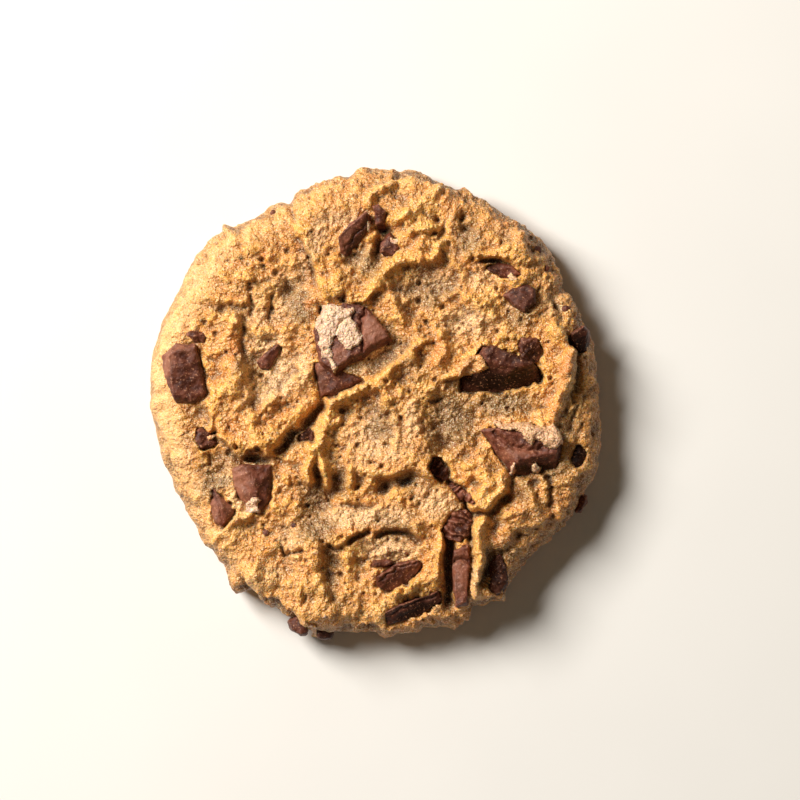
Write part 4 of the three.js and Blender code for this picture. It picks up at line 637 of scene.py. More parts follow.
# Places that are baked more orange, as soft ovals
TOAST = table("strength size turn at", [
    (0.9, [2.4, 2.4], 0, [14.7, 39.6]),  # crust at the top
    (0.8, [1.2, 2.8], -10, [15.5, 34.4]),  # crust below it
    (0.6, [5.2, 1.4], 0, [1.9, 45.6]),  # top edge
    (0.4, [3.2, 2], 30, [-6.9, 42.4]),  # top left edge
    (0.5, [2.8, 1], 40, [0.1, 41.6]),  # top crest
    (0.5, [2.8, 1.6], -20, [9.9, 43.6]),  # right of the top edge
    (0.8, [1.8, 1.8], 0, [29.5, 33]),  # round lump
    (0.6, [2.8, 1.6], -20, [25.1, 36.4]),  # lump beside it
    (1, [1, 5.2], -6, [38.1, 7.6]),  # long right crest
    (0.8, [1.2, 2.8], 12, [35.9, -0.4]),  # its lower end
    (1, [2.4, 2], 0, [24.5, -16.4]),  # curled lump
    (0.6, [2.4, 1.8], -20, [28.3, -21.2]),  # third lump
    (0.7, [1, 4.4], 0, [20.9, -25.6]),  # golden strip
    (0.6, [2.4, 2], 0, [25.1, -26.8]),  # fourth lump
    (0.9, [1.2, 4.4], -8, [-28.1, 11.6]),  # left crest
    (0.6, [2.8, 1.8], 30, [-28.5, -5.6]),  # left slab
    (0.6, [2, 1.2], 0, [-32.1, -6]),  # flap tip
    (0.8, [1.6, 1.2], 0, [-23.7, -9.8]),  # ball
    (0.5, [5.2, 1.2], 36, [-18.5, -0.8]),  # left bowl's rim
    (0.6, [1.8, 1.2], 0, [-8.5, 1.2]),  # tongue tip
    (0.6, [4.4, 1], 28, [-1.7, 1.2]),  # under the long crest
    (0.9, [3.6, 0.6], 5, [19.5, 6]),  # flap's lip
    (0.4, [2.4, 1.6], 0, [17.5, 8.4]),  # flap
    (1, [0.8, 1], 0, [-29.9, 34.8]),  # edge spot
    (0.9, [0.6, 3], -8, [-38.3, 15.6]),  # streak at the left
    (0.8, [0.8, 0.8], 0, [-21.7, 29.4]),  # spot in the rim
    (0.7, [0.8, 0.6], 0, [-30.1, 27.2]),  # second spot in the rim
    (0.5, [1, 0.8], 0, [-27.1, 32.4]),  # third spot in the rim
    (0.7, [0.8, 1.6], 0, [-36.9, 22.4]),  # spot in the left rim
    (0.6, [2, 3.2], 0, [-37.7, -11.2]),  # left low rim
    (0.9, [1.4, 1], 20, [-12.7, 20.4]),  # lump by the centre block
    (0.7, [2, 3.2], 0, [12.7, 10.4]),  # lump at the middle's right
    (0.4, [1.2, 6], 0, [9.1, -7.2]),  # middle slab's right
    (0.4, [5.2, 1.2], 0, [5.1, -12.4]),  # middle slab's lower edge
    (0.6, [1, 5.2], -10, [-12.1, -32.4]),  # step
    (0.5, [4, 1.6], -20, [-18.9, -38.4]),  # lower rim
    (0.6, [6, 1.6], 0, [-4.9, -43.2]),  # bottom
    (0.5, [5.2, 1.2], 8, [11.1, -42.8]),  # bottom right of it
    (0.6, [1.4, 1.4], 0, [38.3, 22.4]),  # lump at the right edge
    (0.5, [5.6, 1.2], 10, [7.5, 28.4]),  # upper hooked crest
    (0.6, [1.2, 4], -20, [3.5, 22.4]),  # its lower run
    (0.7, [2.4, 1.2], 20, [7.9, 31.6]),  # between the upper crests
    (0.5, [8.8, 1], 0, [-0.5, -25.2]),  # lower lip
    (0.5, [1.4, 4.8], 0, [10.7, -30.4]),  # crescent
    (0.4, [1.6, 8], 0, [42.7, -3.2]),  # right edge
    (0.5, [2, 6], -40, [36.3, -20.8]),  # lower right edge
])

# Places that are baked bright gold, also painted light on slopes that turn away from the lamp
GOLD_AND_PAINTED_LIGHT = table("strength size turn at", [
    (1, [4, 2.2], 30, [5.1, 26.8]),  # hooked crest
    (0.9, [4.4, 3.2], 0, [9.9, 37.6]),  # top right crest
    (1, [3.2, 3.6], 0, [12.7, 34]),  # below the top right crest
    (1, [3.4, 2.6], 0, [-5.9, -0.2]),  # root of the fork
    (1, [2.4, 6.4], 12, [-9.7, -8.4]),  # fork's right prong
    (0.9, [2.6, 3.2], 0, [-4.1, -30.6]),  # fold of the lower bowl
    (1, [4.8, 2.2], 25, [6.3, -39.2]),  # crescent's foot
    (0.9, [2.4, 4.8], 8, [23.9, -18.4]),  # curled lump and strip
    (0.9, [2, 5.2], 0, [21.5, -26.4]),  # strip
    (0.8, [2.6, 3.2], 0, [23.1, 20.2]),  # by the right slit
    (0.9, [3.4, 2.4], 0, [18.3, 8]),  # flap over the right bar
    (0.8, [2.2, 2.8], 0, [38.3, 16.4]),  # right edge above the lumps
    (0.9, [2.6, 5.2], 0, [40.9, 1.2]),  # right edge
    (0.8, [1.6, 4.8], 0, [10.3, 1.2]),  # right of the middle slab
    (0.7, [2, 4.8], 0, [-10.9, -35.6]),  # step's foot
    (0.7, [6.8, 1.8], 0, [-0.5, -42.4]),  # bottom rim
    (0.7, [3.6, 2.4], 0, [3.5, 44]),  # top rim
    (0.6, [1.8, 3.6], 30, [-26.9, 15.6]),  # slope of the left basin
    (0.6, [2.2, 2.8], 0, [-21.3, 22]),  # upper left slope
    (0.7, [2.4, 3.2], 20, [-26.9, -23.6]),  # lower left slope
    (0.7, [2.8, 2.8], 0, [-22.1, -34.8]),  # left rim at the bottom
    (0.6, [2.4, 2.8], 0, [-24.1, 5.2]),  # left bowl's lower side
])

# Places where the dough is pale
PALE = table("strength size turn at", [
    (0.9, [5.2, 5.2], 20, [-20.5, 6]),  # left bowl
    (0.7, [4, 1.6], 10, [-21.3, 12.4]),  # above it
    (0.5, [6.8, 4], 40, [-19.7, 20.8]),  # upper left basin
    (0.5, [6.4, 3.2], 10, [10.1, 23.6]),  # upper hollow
    (0.7, [9.2, 2.4], 0, [-1.9, -22.4]),  # slab above the lower bowl
    (0.7, [7.2, 2.4], 0, [1.9, -28.8]),  # lower bowl
    (0.6, [4.4, 3.2], 0, [12.3, -19.2]),  # right of the lower bowl
    (0.5, [2.8, 1.8], -10, [26.3, -4]),  # by the lower right block
    (0.8, [3.6, 1.6], -8, [34.1, -6.4]),  # on the lower right block
    (0.7, [5.2, 2.8], 0, [19.1, 16.4]),  # above the right bar
    (0.5, [2.8, 2.8], 0, [35.5, 20.8]),  # right of the upper right block
    (0.5, [6, 6], 0, [0.7, -7.2]),  # middle slab
    (0.8, [5.2, 1.8], 25, [0.7, 8.8]),  # under the centre block
    (0.6, [1.6, 4.8], 0, [-14.1, 6.8]),  # left of the centre block
    (0.6, [3.2, 2], 0, [-2.5, 29.2]),  # under the top bar
    (0.5, [1.2, 4], 0, [19.9, -35.6]),  # slit strip
    (0.9, [2, 1.6], 0, [-30.5, -15.2]),  # by the lower left block
    (0.4, [4, 2], 0, [21.1, 24.8]),  # right of the hooked crest
    (0.5, [2, 2.8], 0, [-26.9, 16.4]),  # ridge of the left basin
    (0.6, [1.8, 4.8], 0, [7.9, -3.6]),  # slab's right side
    (0.8, [2, 4.8], 10, [-26.9, -20.8]),  # below the lower left block
    (0.8, [3.2, 2.2], 30, [-22.1, -34.8]),  # lower left rim
    (0.4, [2.8, 4], 0, [-16.5, -27.2]),  # left of the step
    (0.5, [2, 5.2], -20, [-11.3, 33.6]),  # top left slab
    (0.6, [4.4, 1.8], 0, [-6.5, 37]),  # left of the top bar
])

# Painted shade: low and shaded places of the dough, painted a darker greyish brown
SHADE = table("strength size turn at", [
    (0.75, [5.6, 2.6], 10, [11.1, 23]),  # upper hollow
    (0.9, [2.4, 1.8], 30, [-16.7, 22.6]),  # dark dimple
    (0.6, [3.6, 1.2], 0, [-28.1, 19.2]),  # run below the pit
    (0.4, [5.2, 1.6], 0, [-22.5, 23.2]),  # below the fold
    (0.7, [2.4, 1.4], -10, [-24.5, 0.2]),  # edge of the left bowl
    (1, [2.6, 3.4], 0, [-11.9, -19.6]),  # under the fork
    (0.8, [1.8, 4], 0, [-6.9, -14.8]),  # right of the flap
    (0.8, [2.4, 4.8], 0, [12.5, -5.6]),  # valley right of the middle
    (0.8, [2.2, 4.8], -8, [-8.9, -34.4]),  # right of the step
    (0.6, [2.4, 2], 0, [-0.5, -2]),  # on the middle slab
    (0.7, [4.8, 2.4], 20, [-30.5, -12]),  # low ground at the left
    (0.7, [3.2, 1.8], 20, [-3.3, 28.8]),  # under the top bar
    (0.6, [1.2, 6], 0, [40.1, 1.2]),  # right of the long crest
    (0.7, [2, 1.6], 0, [29.3, -26.4]),  # dip by the orange lumps
    (0.5, [2.8, 2.4], 0, [18.3, 36.4]),  # crust pits
    (0.5, [2.8, 2.4], 0, [7.5, 6.8]),  # middle's right
    (0.4, [4.8, 1.6], 25, [-0.5, 7.6]),  # under the centre block
    (0.5, [4, 1.2], 0, [-5.9, -44.8]),  # lower edge
    (0.4, [2.4, 1.6], 0, [-7.7, -40.4]),  # lower middle
    (0.4, [2.8, 2.4], 0, [1.5, -1.6]),  # second slab hollow
    (0.5, [2, 2], 0, [11.1, -9.6]),  # left of the melts
    (0.6, [1.6, 4.4], -20, [-14.1, 27.2]),  # by the upper slab
    (0.5, [2, 2.8], 0, [42.1, -14.4]),  # right low edge
    (0.8, [1.6, 3.2], -10, [-27.3, 9.2]),  # right of the left crest
    (1, [4.8, 6.4], 0, [15.7, -2.8]),  # slope right of the middle slab
    (1, [6.4, 2.4], 0, [25.5, 0]),  # valley under the right bar
    (0.7, [4.4, 1.8], 0, [17.5, 2.8]),  # under the flap
    (1, [2.8, 4], 0, [-14.5, 19.2]),  # basin by the centre block
    (0.7, [2.4, 2.4], 0, [-5.9, 16]),  # above the centre block
    (1, [3.8, 2.8], 0, [-11.5, -24.8]),  # below the fork
    (0.8, [4.8, 2.4], 0, [4.3, -25.2]),  # slab over the lower bowl
    (0.7, [2.8, 2.8], 0, [7.5, -15.2]),  # under the middle slab
    (1, [3.2, 2.2], 0, [-32.5, -16.2]),  # by the small lower left one
    (0.7, [2.4, 2.6], 0, [-36.9, -8.4]),  # by the low left rim
    (1, [3.4, 1.6], 0, [-23.3, -11.8]),  # gap over the lower left block
    (1, [4, 1.8], 40, [-15.7, -7.4]),  # crevice
    (0.9, [2.4, 2.8], 0, [-0.7, 28]),  # under the top chunks
    (0.8, [2.8, 2.4], 0, [11.1, 21.2]),  # hollow by the hooked crest
    (0.8, [2.8, 3.6], 0, [29.1, 18]),  # right of the upper right block
    (0.8, [2, 3.2], 0, [38.7, 6.8]),  # right rim
    (0.8, [2.8, 2.2], 0, [38.3, -5.2]),  # above the edge oval
    (0.9, [2.8, 3], 0, [1.1, -4.4]),  # pit of the middle slab
    (0.8, [3, 2], 0, [4.3, 12]),  # shade of the centre block
    (0.9, [2.8, 1.8], 0, [-4.5, 6.6]),  # below the low centre one
    (0.5, [1.8, 2.8], 0, [-35.9, -1.6]),  # by the left melt
    (0.9, [2.8, 3.6], 0, [18.7, 33.2]),  # upper right crust
    (0.6, [2.4, 2], 0, [26.7, 33.6]),  # by the round lump
    (0.9, [5.2, 2], 20, [36.3, -13.2]),  # at the right edge
    (0.7, [2.4, 3.6], 0, [29.5, -16.4]),  # above the orange lumps
    (0.9, [2.8, 3.2], 0, [26.1, -29.2]),  # below the orange lumps
    (0.4, [2.8, 3.2], 0, [31.5, -21.6]),  # lower right crust
    (0.8, [1.4, 4], 0, [16.7, -23.2]),  # by the upright bar
    (0.8, [2.4, 2], 0, [13.7, -39.6]),  # right of the bottom bar
])

# Chunks: the bevel of their edges, how much wider the foot is, and how their seats in the dough lie
BEVEL = 0.45
FOOT_GROWTH = 0.3
SEAT = 0.9
SEAT_EDGE = 0.5
SEAT_RAGGED = dict(mean=0.35, shift=1.0, size=1.1, seed=61)
# Chips: corners round their face, how uneven these are, and how far they reach in shares of the size
CHIP_CORNERS = 7
CHIP_SLOPE = 0.6
CHIP_STRAY = 0.6
CHIP_REACH = dict(least=0.46, span=0.1)
CHIP_SEED = 7

# Relief of the dough. Each size is the width of one bump, and each rise its height
LUMPS = [dict(size=7.0, rise=0.55, seed=11), dict(size=3.6, rise=0.5, seed=23)]
LUMP_MEAN = 0.7
WARP = dict(size=6.0, shift=2.2, seed=5)  # how far the lumps are bent
UNEVEN = dict(size=2.6, least=0.6, span=0.8, seed=61)  # how uneven crests and furrows are
FORM_WARPS = [dict(size=4.0, shift=1.3, seed=51), dict(size=1.5, shift=0.65, seed=53)]  # how far they wander
GRIT = [
    dict(size=2.6, rise=0.45, seed=31),
    dict(size=1.3, rise=0.2, seed=33),
    dict(size=0.7, rise=0.16, seed=35),
]
PEBBLES = [
    dict(size=2.4, rise=1.0, seed=37),
    dict(size=1.4, rise=0.8, seed=39),
    dict(size=0.9, rise=0.6, seed=47),
]
PEBBLE_WIDTH = 0.45
PEBBLE_MEAN = 0.2
# Pits in a share of the cells, with a flat floor out to a part of their radius
PITS = [
    dict(size=3.1, radius=0.24, depth=1.0, share=0.45, seed=43),
    dict(size=1.7, radius=0.3, depth=0.6, share=0.4, seed=45),
]
PIT_FLOOR = 0.4
SIDE_ROUGHNESS = 0.55  # share of the lumps and fine relief that the side has
LEAST_HEIGHT = 1.0  # lowest level of the face above the widest outline
# The side that baked smooth: its direction, how far round it reaches, where it starts and is full,
# and how much finer relief it takes away
CRUST = dict(angle=172, spread=48, inner=0.84, full=0.92, calm=0.8)
# Small bites all round the edge
EDGE_NIBBLES = dict(around=23, stretch=2, rise=0.35, seed=41)

# The rings of the dough's mesh. The first ring has SIDES corners, and each ring of the top that many more
SIDES = 6
TOP_RINGS = 152
SHOULDER_RINGS = 20
UNDER_RINGS = 6
BASE_RINGS = 8
BASE_DENTS = dict(size=3, depth=0.12, seed=71)
BASE_MIDDLE = 0.05
EASE = 2.0  # height below the top of the solid's box in which crests are eased down

# Spreads over which the ground near a point and the wider ground are averaged, for colours
NEAR = 0.8
WIDE = 2.6
AVERAGE_CELL = 0.35
AVERAGE_CELLS = 300
LEAST_WEIGHT = 1e-4
LEAST_COUNT = 1e-3
# How crests and hollows are told from the ground near them, from the wider ground and from the fine relief
CREST_TONE = dict(near=1.2, wide=0.6, side=0.5, low=-0.1, high=1.2)
HOLLOW_TONE = dict(near=1.6, wide=0.45, side=0.5, low=0.05, high=1.3)
FINE_RANGE = 0.8
# Where colours set in and are full: by height, by share of the radius, by hollowness and by depth on the side
TOP_TONES = (4, 8)
RIM_TONES = (0.8, 1.0)
GAP_SHADOW_TONES = (0.0, 0.3)
UNDER_TONES = (0.2, 1.0)
# Soft ovals have uneven edges
SPOT_BEND = dict(size=2.2, shift=1.2, seed=91)
SPOT_FALL = 0.8


# Noise

def corner_value(ix, iy, iz, seed):
    """A number from 0 to 1 that belongs to a corner of the noise grid, by a hash with large primes."""
    def times(value, factor):
        return np.asarray(value, np.int64).astype(np.uint32) * np.uint32(factor)

    h = times(ix, 73856093) ^ times(iy, 19349663)
    h ^= times(iz, 83492791) ^ np.uint32((seed * 374761393) & 0xFFFFFFFF)
    h = (h ^ (h >> np.uint32(15))) * np.uint32(668265263)
    h = (h ^ (h >> np.uint32(13))) * np.uint32(1274126177)
    return (h ^ (h >> np.uint32(16))).astype(np.float64) / 4294967295.0


def smooth(x, low=0.0, high=1.0):
    """From 0 to 1 as x goes from low to high, with soft ends."""
    t = np.clip((x - low) / (high - low), 0.0, 1.0)
    return t * t * (3 - 2 * t)


def mix(a, b, t):
    """From a to b as t goes from 0 to 1."""
    return a + (b - a) * t


def noise(x, y, z, seed):
    """Smooth noise from 0 to 1."""
    x, y, z = np.broadcast_arrays(*(np.asarray(v, float) for v in (x, y, z)))
    ix, iy, iz = (np.floor(v).astype(np.int64) for v in (x, y, z))
    u, v, w = smooth(x - ix), smooth(y - iy), smooth(z - iz)

    def along(dy, dz):
        return mix(corner_value(ix, iy + dy, iz + dz, seed), corner_value(ix + 1, iy + dy, iz + dz, seed), u)

    return mix(mix(along(0, 0), along(1, 0), v), mix(along(0, 1), along(1, 1), v), w)


def lumps(x, y, z, octaves):
    """Rounded lumps with creases between them, on average level."""
    def bend(seed):
        return (noise(x / WARP["size"], y / WARP["size"], z / WARP["size"], seed) - 0.5) * WARP["shift"]

    bx, by = x + bend(WARP["seed"]), y + bend(WARP["seed"] + 1)
    total = 0.0
    for o in octaves:
        swell = np.abs(2 * noise(bx / o["size"], by / o["size"], z / o["size"], o["seed"]) - 1)
        total = total + o["rise"] * (2 * swell - LUMP_MEAN)
    return total


def cells(x, y, z, size, seed):
    """Distance to the nearest of scattered points, in units of size, and a number from that point."""
    x, y, z = np.broadcast_arrays(*(np.asarray(v, float) / size for v in (x, y, z)))
    ix, iy, iz = (np.floor(v).astype(np.int64) for v in (x, y, z))
    nearest = np.full(x.shape, np.inf)
    label = np.zeros(x.shape)
    for dx in (-1, 0, 1):
        for dy in (-1, 0, 1):
            for dz in (-1, 0, 1):
                cx, cy, cz = ix + dx, iy + dy, iz + dz
                far = np.sqrt(
                    (cx + corner_value(cx, cy, cz, seed) - x) ** 2
                    + (cy + corner_value(cx, cy, cz, seed + 100) - y) ** 2
                    + (cz + corner_value(cx, cy, cz, seed + 200) - z) ** 2
                )
                closer = far < nearest
                nearest = np.where(closer, far, nearest)
                label = np.where(closer, corner_value(cx, cy, cz, seed + 300), label)
    return nearest, label


def crust(x, y):
    """From 0 to 1, where the smooth outer crust of the left side is."""
    angle = np.degrees(np.arctan2(y, x))
    off = (angle - CRUST["angle"] + 180) % 360 - 180
    share = np.hypot(x, y) / outline_radius(angle)
    return np.exp(-((off / CRUST["spread"]) ** 2)) * smooth(share, CRUST["inner"], CRUST["full"])


def crumbs(x, y, z):
    """Fine relief: grit, pebbles and pits."""
    total = 0.0
    for g in GRIT:
        total = total + g["rise"] * (2 * noise(x / g["size"], y / g["size"], z / g["size"], g["seed"]) - 1)
    for p in PEBBLES:
        far, label = cells(x, y, z, p["size"], p["seed"])
        total = total + p["rise"] * (label * bell(far, PEBBLE_WIDTH) - PEBBLE_MEAN)
    for p in PITS:
        far, label = cells(x, y, z, p["size"], p["seed"])
        hole = 1 - smooth(far, p["radius"] * PIT_FLOOR, p["radius"])
        total = total - p["depth"] * (label < p["share"]) * hole
    return total


# The round's outline and forms

def outline_radius(angle):
    """Radius of the widest level at angles in degrees."""
    step = 360 / len(RADII)
    place = (angle % 360) / step
    i = np.floor(place).astype(int)
    f = place - i
    radii = np.array(RADII)
    a, b, c, d = (radii[(i + k) % len(RADII)] for k in (-1, 0, 1, 2))
    radius = b + 0.5 * f * (c - a + f * (2 * a - 5 * b + 4 * c - d + f * (3 * (b - c) + d - a)))
    for tip in TIPS:
        off = (angle - tip["angle"] + 180) % 360 - 180
        radius = radius + tip["out"] * np.exp(-((off / tip["spread"]) ** 2))
    return radius


def off_path(x, y, path):
    """Distance to a path and the side of it, from 1 at its left to -1 at its right."""
    nearest = np.full(x.shape, np.inf)
    side = np.ones(x.shape)
    for (ax, ay), (bx, by) in zip(path, path[1:]):
        ux, uy = bx - ax, by - ay
        t = np.clip(((x - ax) * ux + (y - ay) * uy) / (ux * ux + uy * uy), 0, 1)
        far = np.hypot(x - ax - t * ux, y - ay - t * uy)
        closer = far < nearest
        turn = (ux * (y - ay) - uy * (x - ax)) / (math.hypot(ux, uy) * np.maximum(far, TOUCHING))
        nearest = np.where(closer, far, nearest)
        side = np.where(closer, turn, side)
    return nearest, side


def bell(far, width):
    """1 at no distance, falling off over that width."""
    return np.exp(-((far / width) ** 2))


def forms(x, y):
    """Height of the crests, furrows and mounds."""
    u = UNEVEN
    uneven = u["least"] + u["span"] * noise(x / u["size"], y / u["size"], 0, u["seed"])
    total = np.zeros(x.shape)
    for c in CRESTS:
        far, side = off_path(x, y, c["path"])
        total += uneven * c["rise"] * bell(far, mix(c["right"], c["left"], smooth(side, -1, 1)))
    for f in FURROWS:
        total -= uneven * f["depth"] * bell(off_path(x, y, f["path"])[0], f["width"])
    for m in MOUNDS + LOBES:
        c, s = math.cos(math.radians(m["turn"])), math.sin(math.radians(m["turn"]))
        dx, dy = x - m["at"][0], y - m["at"][1]
        along, across = (dx * c + dy * s) / m["size"][0], (dy * c - dx * s) / m["size"][1]
        total += m["rise"] * bell(np.hypot(along, across), 1)
    return total


# Chunks, as the solids have them

def chip_face(chip, number):
    """Corners of a small chip's uneven top, the third value a drop below its highest level."""
    c, s = math.cos(math.radians(chip["turn"])), math.sin(math.radians(chip["turn"]))
    face = []
    for i in range(CHIP_CORNERS):
        stray, stretch, drop = (float(corner_value(number, i, k, CHIP_SEED)) for k in (1, 2, 3))
        a = 2 * math.pi * (i + CHIP_STRAY * stray) / CHIP_CORNERS
        reach = CHIP_REACH["least"] + CHIP_REACH["span"] * stretch
        along = chip["size"][0] * reach * math.cos(a)
        across = chip["size"][1] * reach * math.sin(a)
        below = CHIP_SLOPE * drop
        face.append([chip["at"][0] + along * c - across * s, chip["at"][1] + along * s + across * c, -below])
    return face


def plan_hull(points):
    """Corners of the outline of points seen from above, anticlockwise."""
    ordered = sorted(points, key=lambda p: (p[0], p[1]))

    def half(run):
        hull = []
        for p in run:
            while len(hull) > 1 and (
                (hull[-1][0] - hull[-2][0]) * (p[1] - hull[-2][1])
                - (hull[-1][1] - hull[-2][1]) * (p[0] - hull[-2][0])
            ) <= 0:
                hull.pop()
            hull.append(p)
        return hull[:-1]

    return half(ordered) + half(ordered[::-1])


def chunk_points(chunk):
    """The corners of a chunk's solid, its outline from above and the level of its seat."""
    face = chunk["face"]
    mx, my = (sum(p[k] for p in face) / len(face) for k in (0, 1))

    def out(p, by, shift, z):
        far = math.hypot(p[0] - mx, p[1] - my)
        scale = max(0.0, far + by) / far
        return (mx + (p[0] - mx) * scale + shift[0], my + (p[1] - my) * scale + shift[1], z)

    height = [chunk["top"] + (p[2] if len(p) > 2 else 0) for p in face]
    upper = [out(p, -BEVEL, (0, 0), h) for p, h in zip(face, height)]
    upper += [out(p, 0, (0, 0), h - BEVEL) for p, h in zip(face, height)]
    foot = [out(p, FOOT_GROWTH, chunk["flare"], chunk["top"] - chunk["depth"]) for p in face]
    outline = plan_hull(upper + foot)
    return dict(name=chunk["name"], upper=upper, foot=foot, floor=min(height) - SEAT, outline=outline)


CHUNKS = [chunk_points(b) for b in BLOCKS] + [
    chunk_points({**c, "flare": (0, 0), "face": chip_face(c, n)}) for n, c in enumerate(CHIPS)
]


def outside(x, y, outline):
    """How far points lie outside an outline, negative inside."""
    far = np.full(x.shape, -np.inf)
    for a, b in zip(outline, outline[1:] + outline[:1]):
        span = math.hypot(b[0] - a[0], b[1] - a[1])
        far = np.maximum(far, ((b[1] - a[1]) * (x - a[0]) - (b[0] - a[0]) * (y - a[1])) / span)
    return far


def seated(x, y, z, ragged):
    """Dough sunk to the seats of the chunks. ragged moves the seat's edge in and out."""
    for c in CHUNKS:
        inside = 1 - smooth(outside(x, y, c["outline"]) + ragged, 0, SEAT_EDGE)
        z = mix(z, np.minimum(z, c["floor"]), inside)
    return z


# The dough

def section_steps():
    """The section from the middle over the shoulder to the foot, one entry for each ring."""
    steps = []
    for k in range(1, TOP_RINGS + 1):
        steps.append(dict(corners=SIDES * k, share=k / TOP_RINGS, inset=SHOULDER, rise=1.0, out=0.0, up=1.0))
    for k in range(1, SHOULDER_RINGS + 1):
        a = math.pi / 2 * k / SHOULDER_RINGS
        c = max(0.0, math.cos(a))
        inset = SHOULDER * (1 - math.sin(a) ** SHOULDER_POWER)
        rise = c ** SHOULDER_POWER if k < SHOULDER_RINGS else 0.0
        steps.append(dict(share=1.0, inset=inset, rise=rise, out=math.sin(a), up=c))
    for k in range(1, UNDER_RINGS + 1):
        a = math.pi / 2 * k / UNDER_RINGS
        inset = UNDERCUT * (1 - math.cos(a))
        steps.append(dict(share=1.0, inset=inset, rise=-math.sin(a), out=math.cos(a), up=-math.sin(a)))
    for s in steps:
        s.setdefault("corners", SIDES * TOP_RINGS)
    return steps


def below_top(z):
    """Heights, with those near the top of the solid's box eased down so that none is above it."""
    top = cad_box[1][2] / MM
    over = np.maximum(0, z - (top - EASE))
    return np.minimum(z, top - EASE) + EASE * (1 - np.exp(-over / EASE))


def dough_rings():
    """Positions of the dough's corners in millimetres, with what the colours need, ring by ring."""
    steps = section_steps()
    cols = {}
    for key in ("share", "inset", "rise", "out", "up"):
        cols[key] = np.concatenate([np.full(s["corners"], s[key]) for s in steps])
    angle = np.concatenate([np.arange(s["corners"]) * 360.0 / s["corners"] for s in steps])
    c, s = np.cos(np.radians(angle)), np.sin(np.radians(angle))
    nib = EDGE_NIBBLES
    edge_x, edge_y = outline_radius(angle) * c, outline_radius(angle) * s
    nibble = noise(nib["around"] * c, nib["around"] * s, cols["rise"] * nib["stretch"], nib["seed"])
    baked = crust(edge_x, edge_y)
    edge = outline_radius(angle) + nib["rise"] * (2 * nibble - 1) * (1 - CRUST["calm"] * baked)
    far = cols["share"] * (edge - cols["inset"])
    crown = CROWN * (1 - (far / edge) ** 2)
    rise = cols["rise"]
    level = np.where(rise > 0, WAIST + (EDGE_HEIGHT + crown - WAIST) * rise, WAIST * (1 + rise))
    x, y = far * c, far * s
    turned = np.maximum(0, cols["up"])
    grip = np.where(rise > 0, mix(SIDE_ROUGHNESS, 1, turned), SIDE_ROUGHNESS * (1 + rise))
    fine = crumbs(x, y, level) * (1 - CRUST["calm"] * crust(x, y))
    wx, wy = x, y
    for w in FORM_WARPS:
        wx = wx + w["shift"] * (noise(x / w["size"], y / w["size"], 0.5, w["seed"]) - 0.5)
        wy = wy + w["shift"] * (noise(x / w["size"], y / w["size"], 0.5, w["seed"] + 1) - 0.5)
    lift = grip * (lumps(x, y, level, LUMPS) + fine) + turned * forms(wx, wy)
    z = np.maximum(level + cols["up"] * lift, np.where(rise > 0, LEAST_HEIGHT, 0.0))
    rag = SEAT_RAGGED
    ragged = rag["mean"] + rag["shift"] * (noise(x / rag["size"], y / rag["size"], 0, rag["seed"]) - 0.5)
    z = np.where(rise > 0, seated(x, y, z, ragged), z)
    z = below_top(z)
    px, py = (far + cols["out"] * lift) * c, (far + cols["out"] * lift) * s
    px, py = (np.clip(v, cad_box[0][k] / MM, cad_box[1][k] / MM) for k, v in enumerate((px, py)))
    return steps, np.stack([px, py, z], 1), dict(lift=lift, fine=fine, turned=turned, rise=rise)


def stitch(first, second):
    """Triangles between two closed rings of corner numbers, the first inside or above the second."""
    out = []
    i = j = 0
    n, m = len(first), len(second)
    while i < n or j < m:
        if j >= m or (i < n and (i + 1) * m < (j + 1) * n):
            out.append((first[i % n], second[j % m], first[(i + 1) % n]))
            i += 1
        else:
            out.append((first[i % n], second[j % m], second[(j + 1) % m]))
            j += 1
    return [t for t in out if len(set(t)) == 3]


def shade_smooth(mesh):
    """Rounds off the look of a mesh's faces."""
    mesh.polygons.foreach_set("use_smooth", np.ones(len(mesh.polygons), bool))


def mesh_object(name, points, faces):
    """A mesh object from points in millimetres."""
    mesh = bpy.data.meshes.new(name)
    mesh.from_pydata([tuple(p) for p in np.asarray(points) * MM], [], [tuple(f) for f in faces])
    mesh.update()
    shade_smooth(mesh)
    ob = bpy.data.objects.new(name, mesh)
    bpy.context.scene.collection.objects.link(ob)
    return ob


def attribute(ob, name, values):
    """Stores a value for each corner of a mesh, for its material to read."""
    a = ob.data.attributes.new(name, "FLOAT", "POINT")
    a.data.foreach_set("value", np.asarray(values, np.float32))


def local_mean(points, values, weight, spread):
    """Mean of values around each point as seen from above, over a bell of that spread."""
    cell, size = AVERAGE_CELL, AVERAGE_CELLS
    half = size * cell / 2
    ix, iy = (np.clip(((points[:, k] + half) / cell).astype(int), 0, size - 1) for k in (0, 1))
    total, count = np.zeros((size, size)), np.zeros((size, size))
    np.add.at(total, (ix, iy), values * weight)
    np.add.at(count, (ix, iy), weight)
    f = np.fft.fftfreq(size, cell)
    gain = np.exp(-2 * (math.pi * spread) ** 2 * (f[:, None] ** 2 + f[None, :] ** 2))

    def blur(g):
        return np.real(np.fft.ifft2(np.fft.fft2(g) * gain))

    mean = blur(total) / np.maximum(blur(count), LEAST_COUNT)
    return mean[ix, iy]


def spots(x, y, places):
    """The strongest of the soft ovals at each point."""
    total = np.zeros(x.shape)
    size, shift, seed = SPOT_BEND["size"], SPOT_BEND["shift"], SPOT_BEND["seed"]
    bend = [shift * (noise(x / size, y / size, 0, seed + k) - 0.5) for k in (0, 1)]
    for p in places:
        c, s = math.cos(math.radians(p["turn"])), math.sin(math.radians(p["turn"]))
        dx, dy = x + bend[0] - p["at"][0], y + bend[1] - p["at"][1]
        far = np.hypot((dx * c + dy * s) / p["size"][0], (dy * c - dx * s) / p["size"][1])
        total = np.maximum(total, p["strength"] * np.exp(-(far ** 4) * SPOT_FALL))
    return total


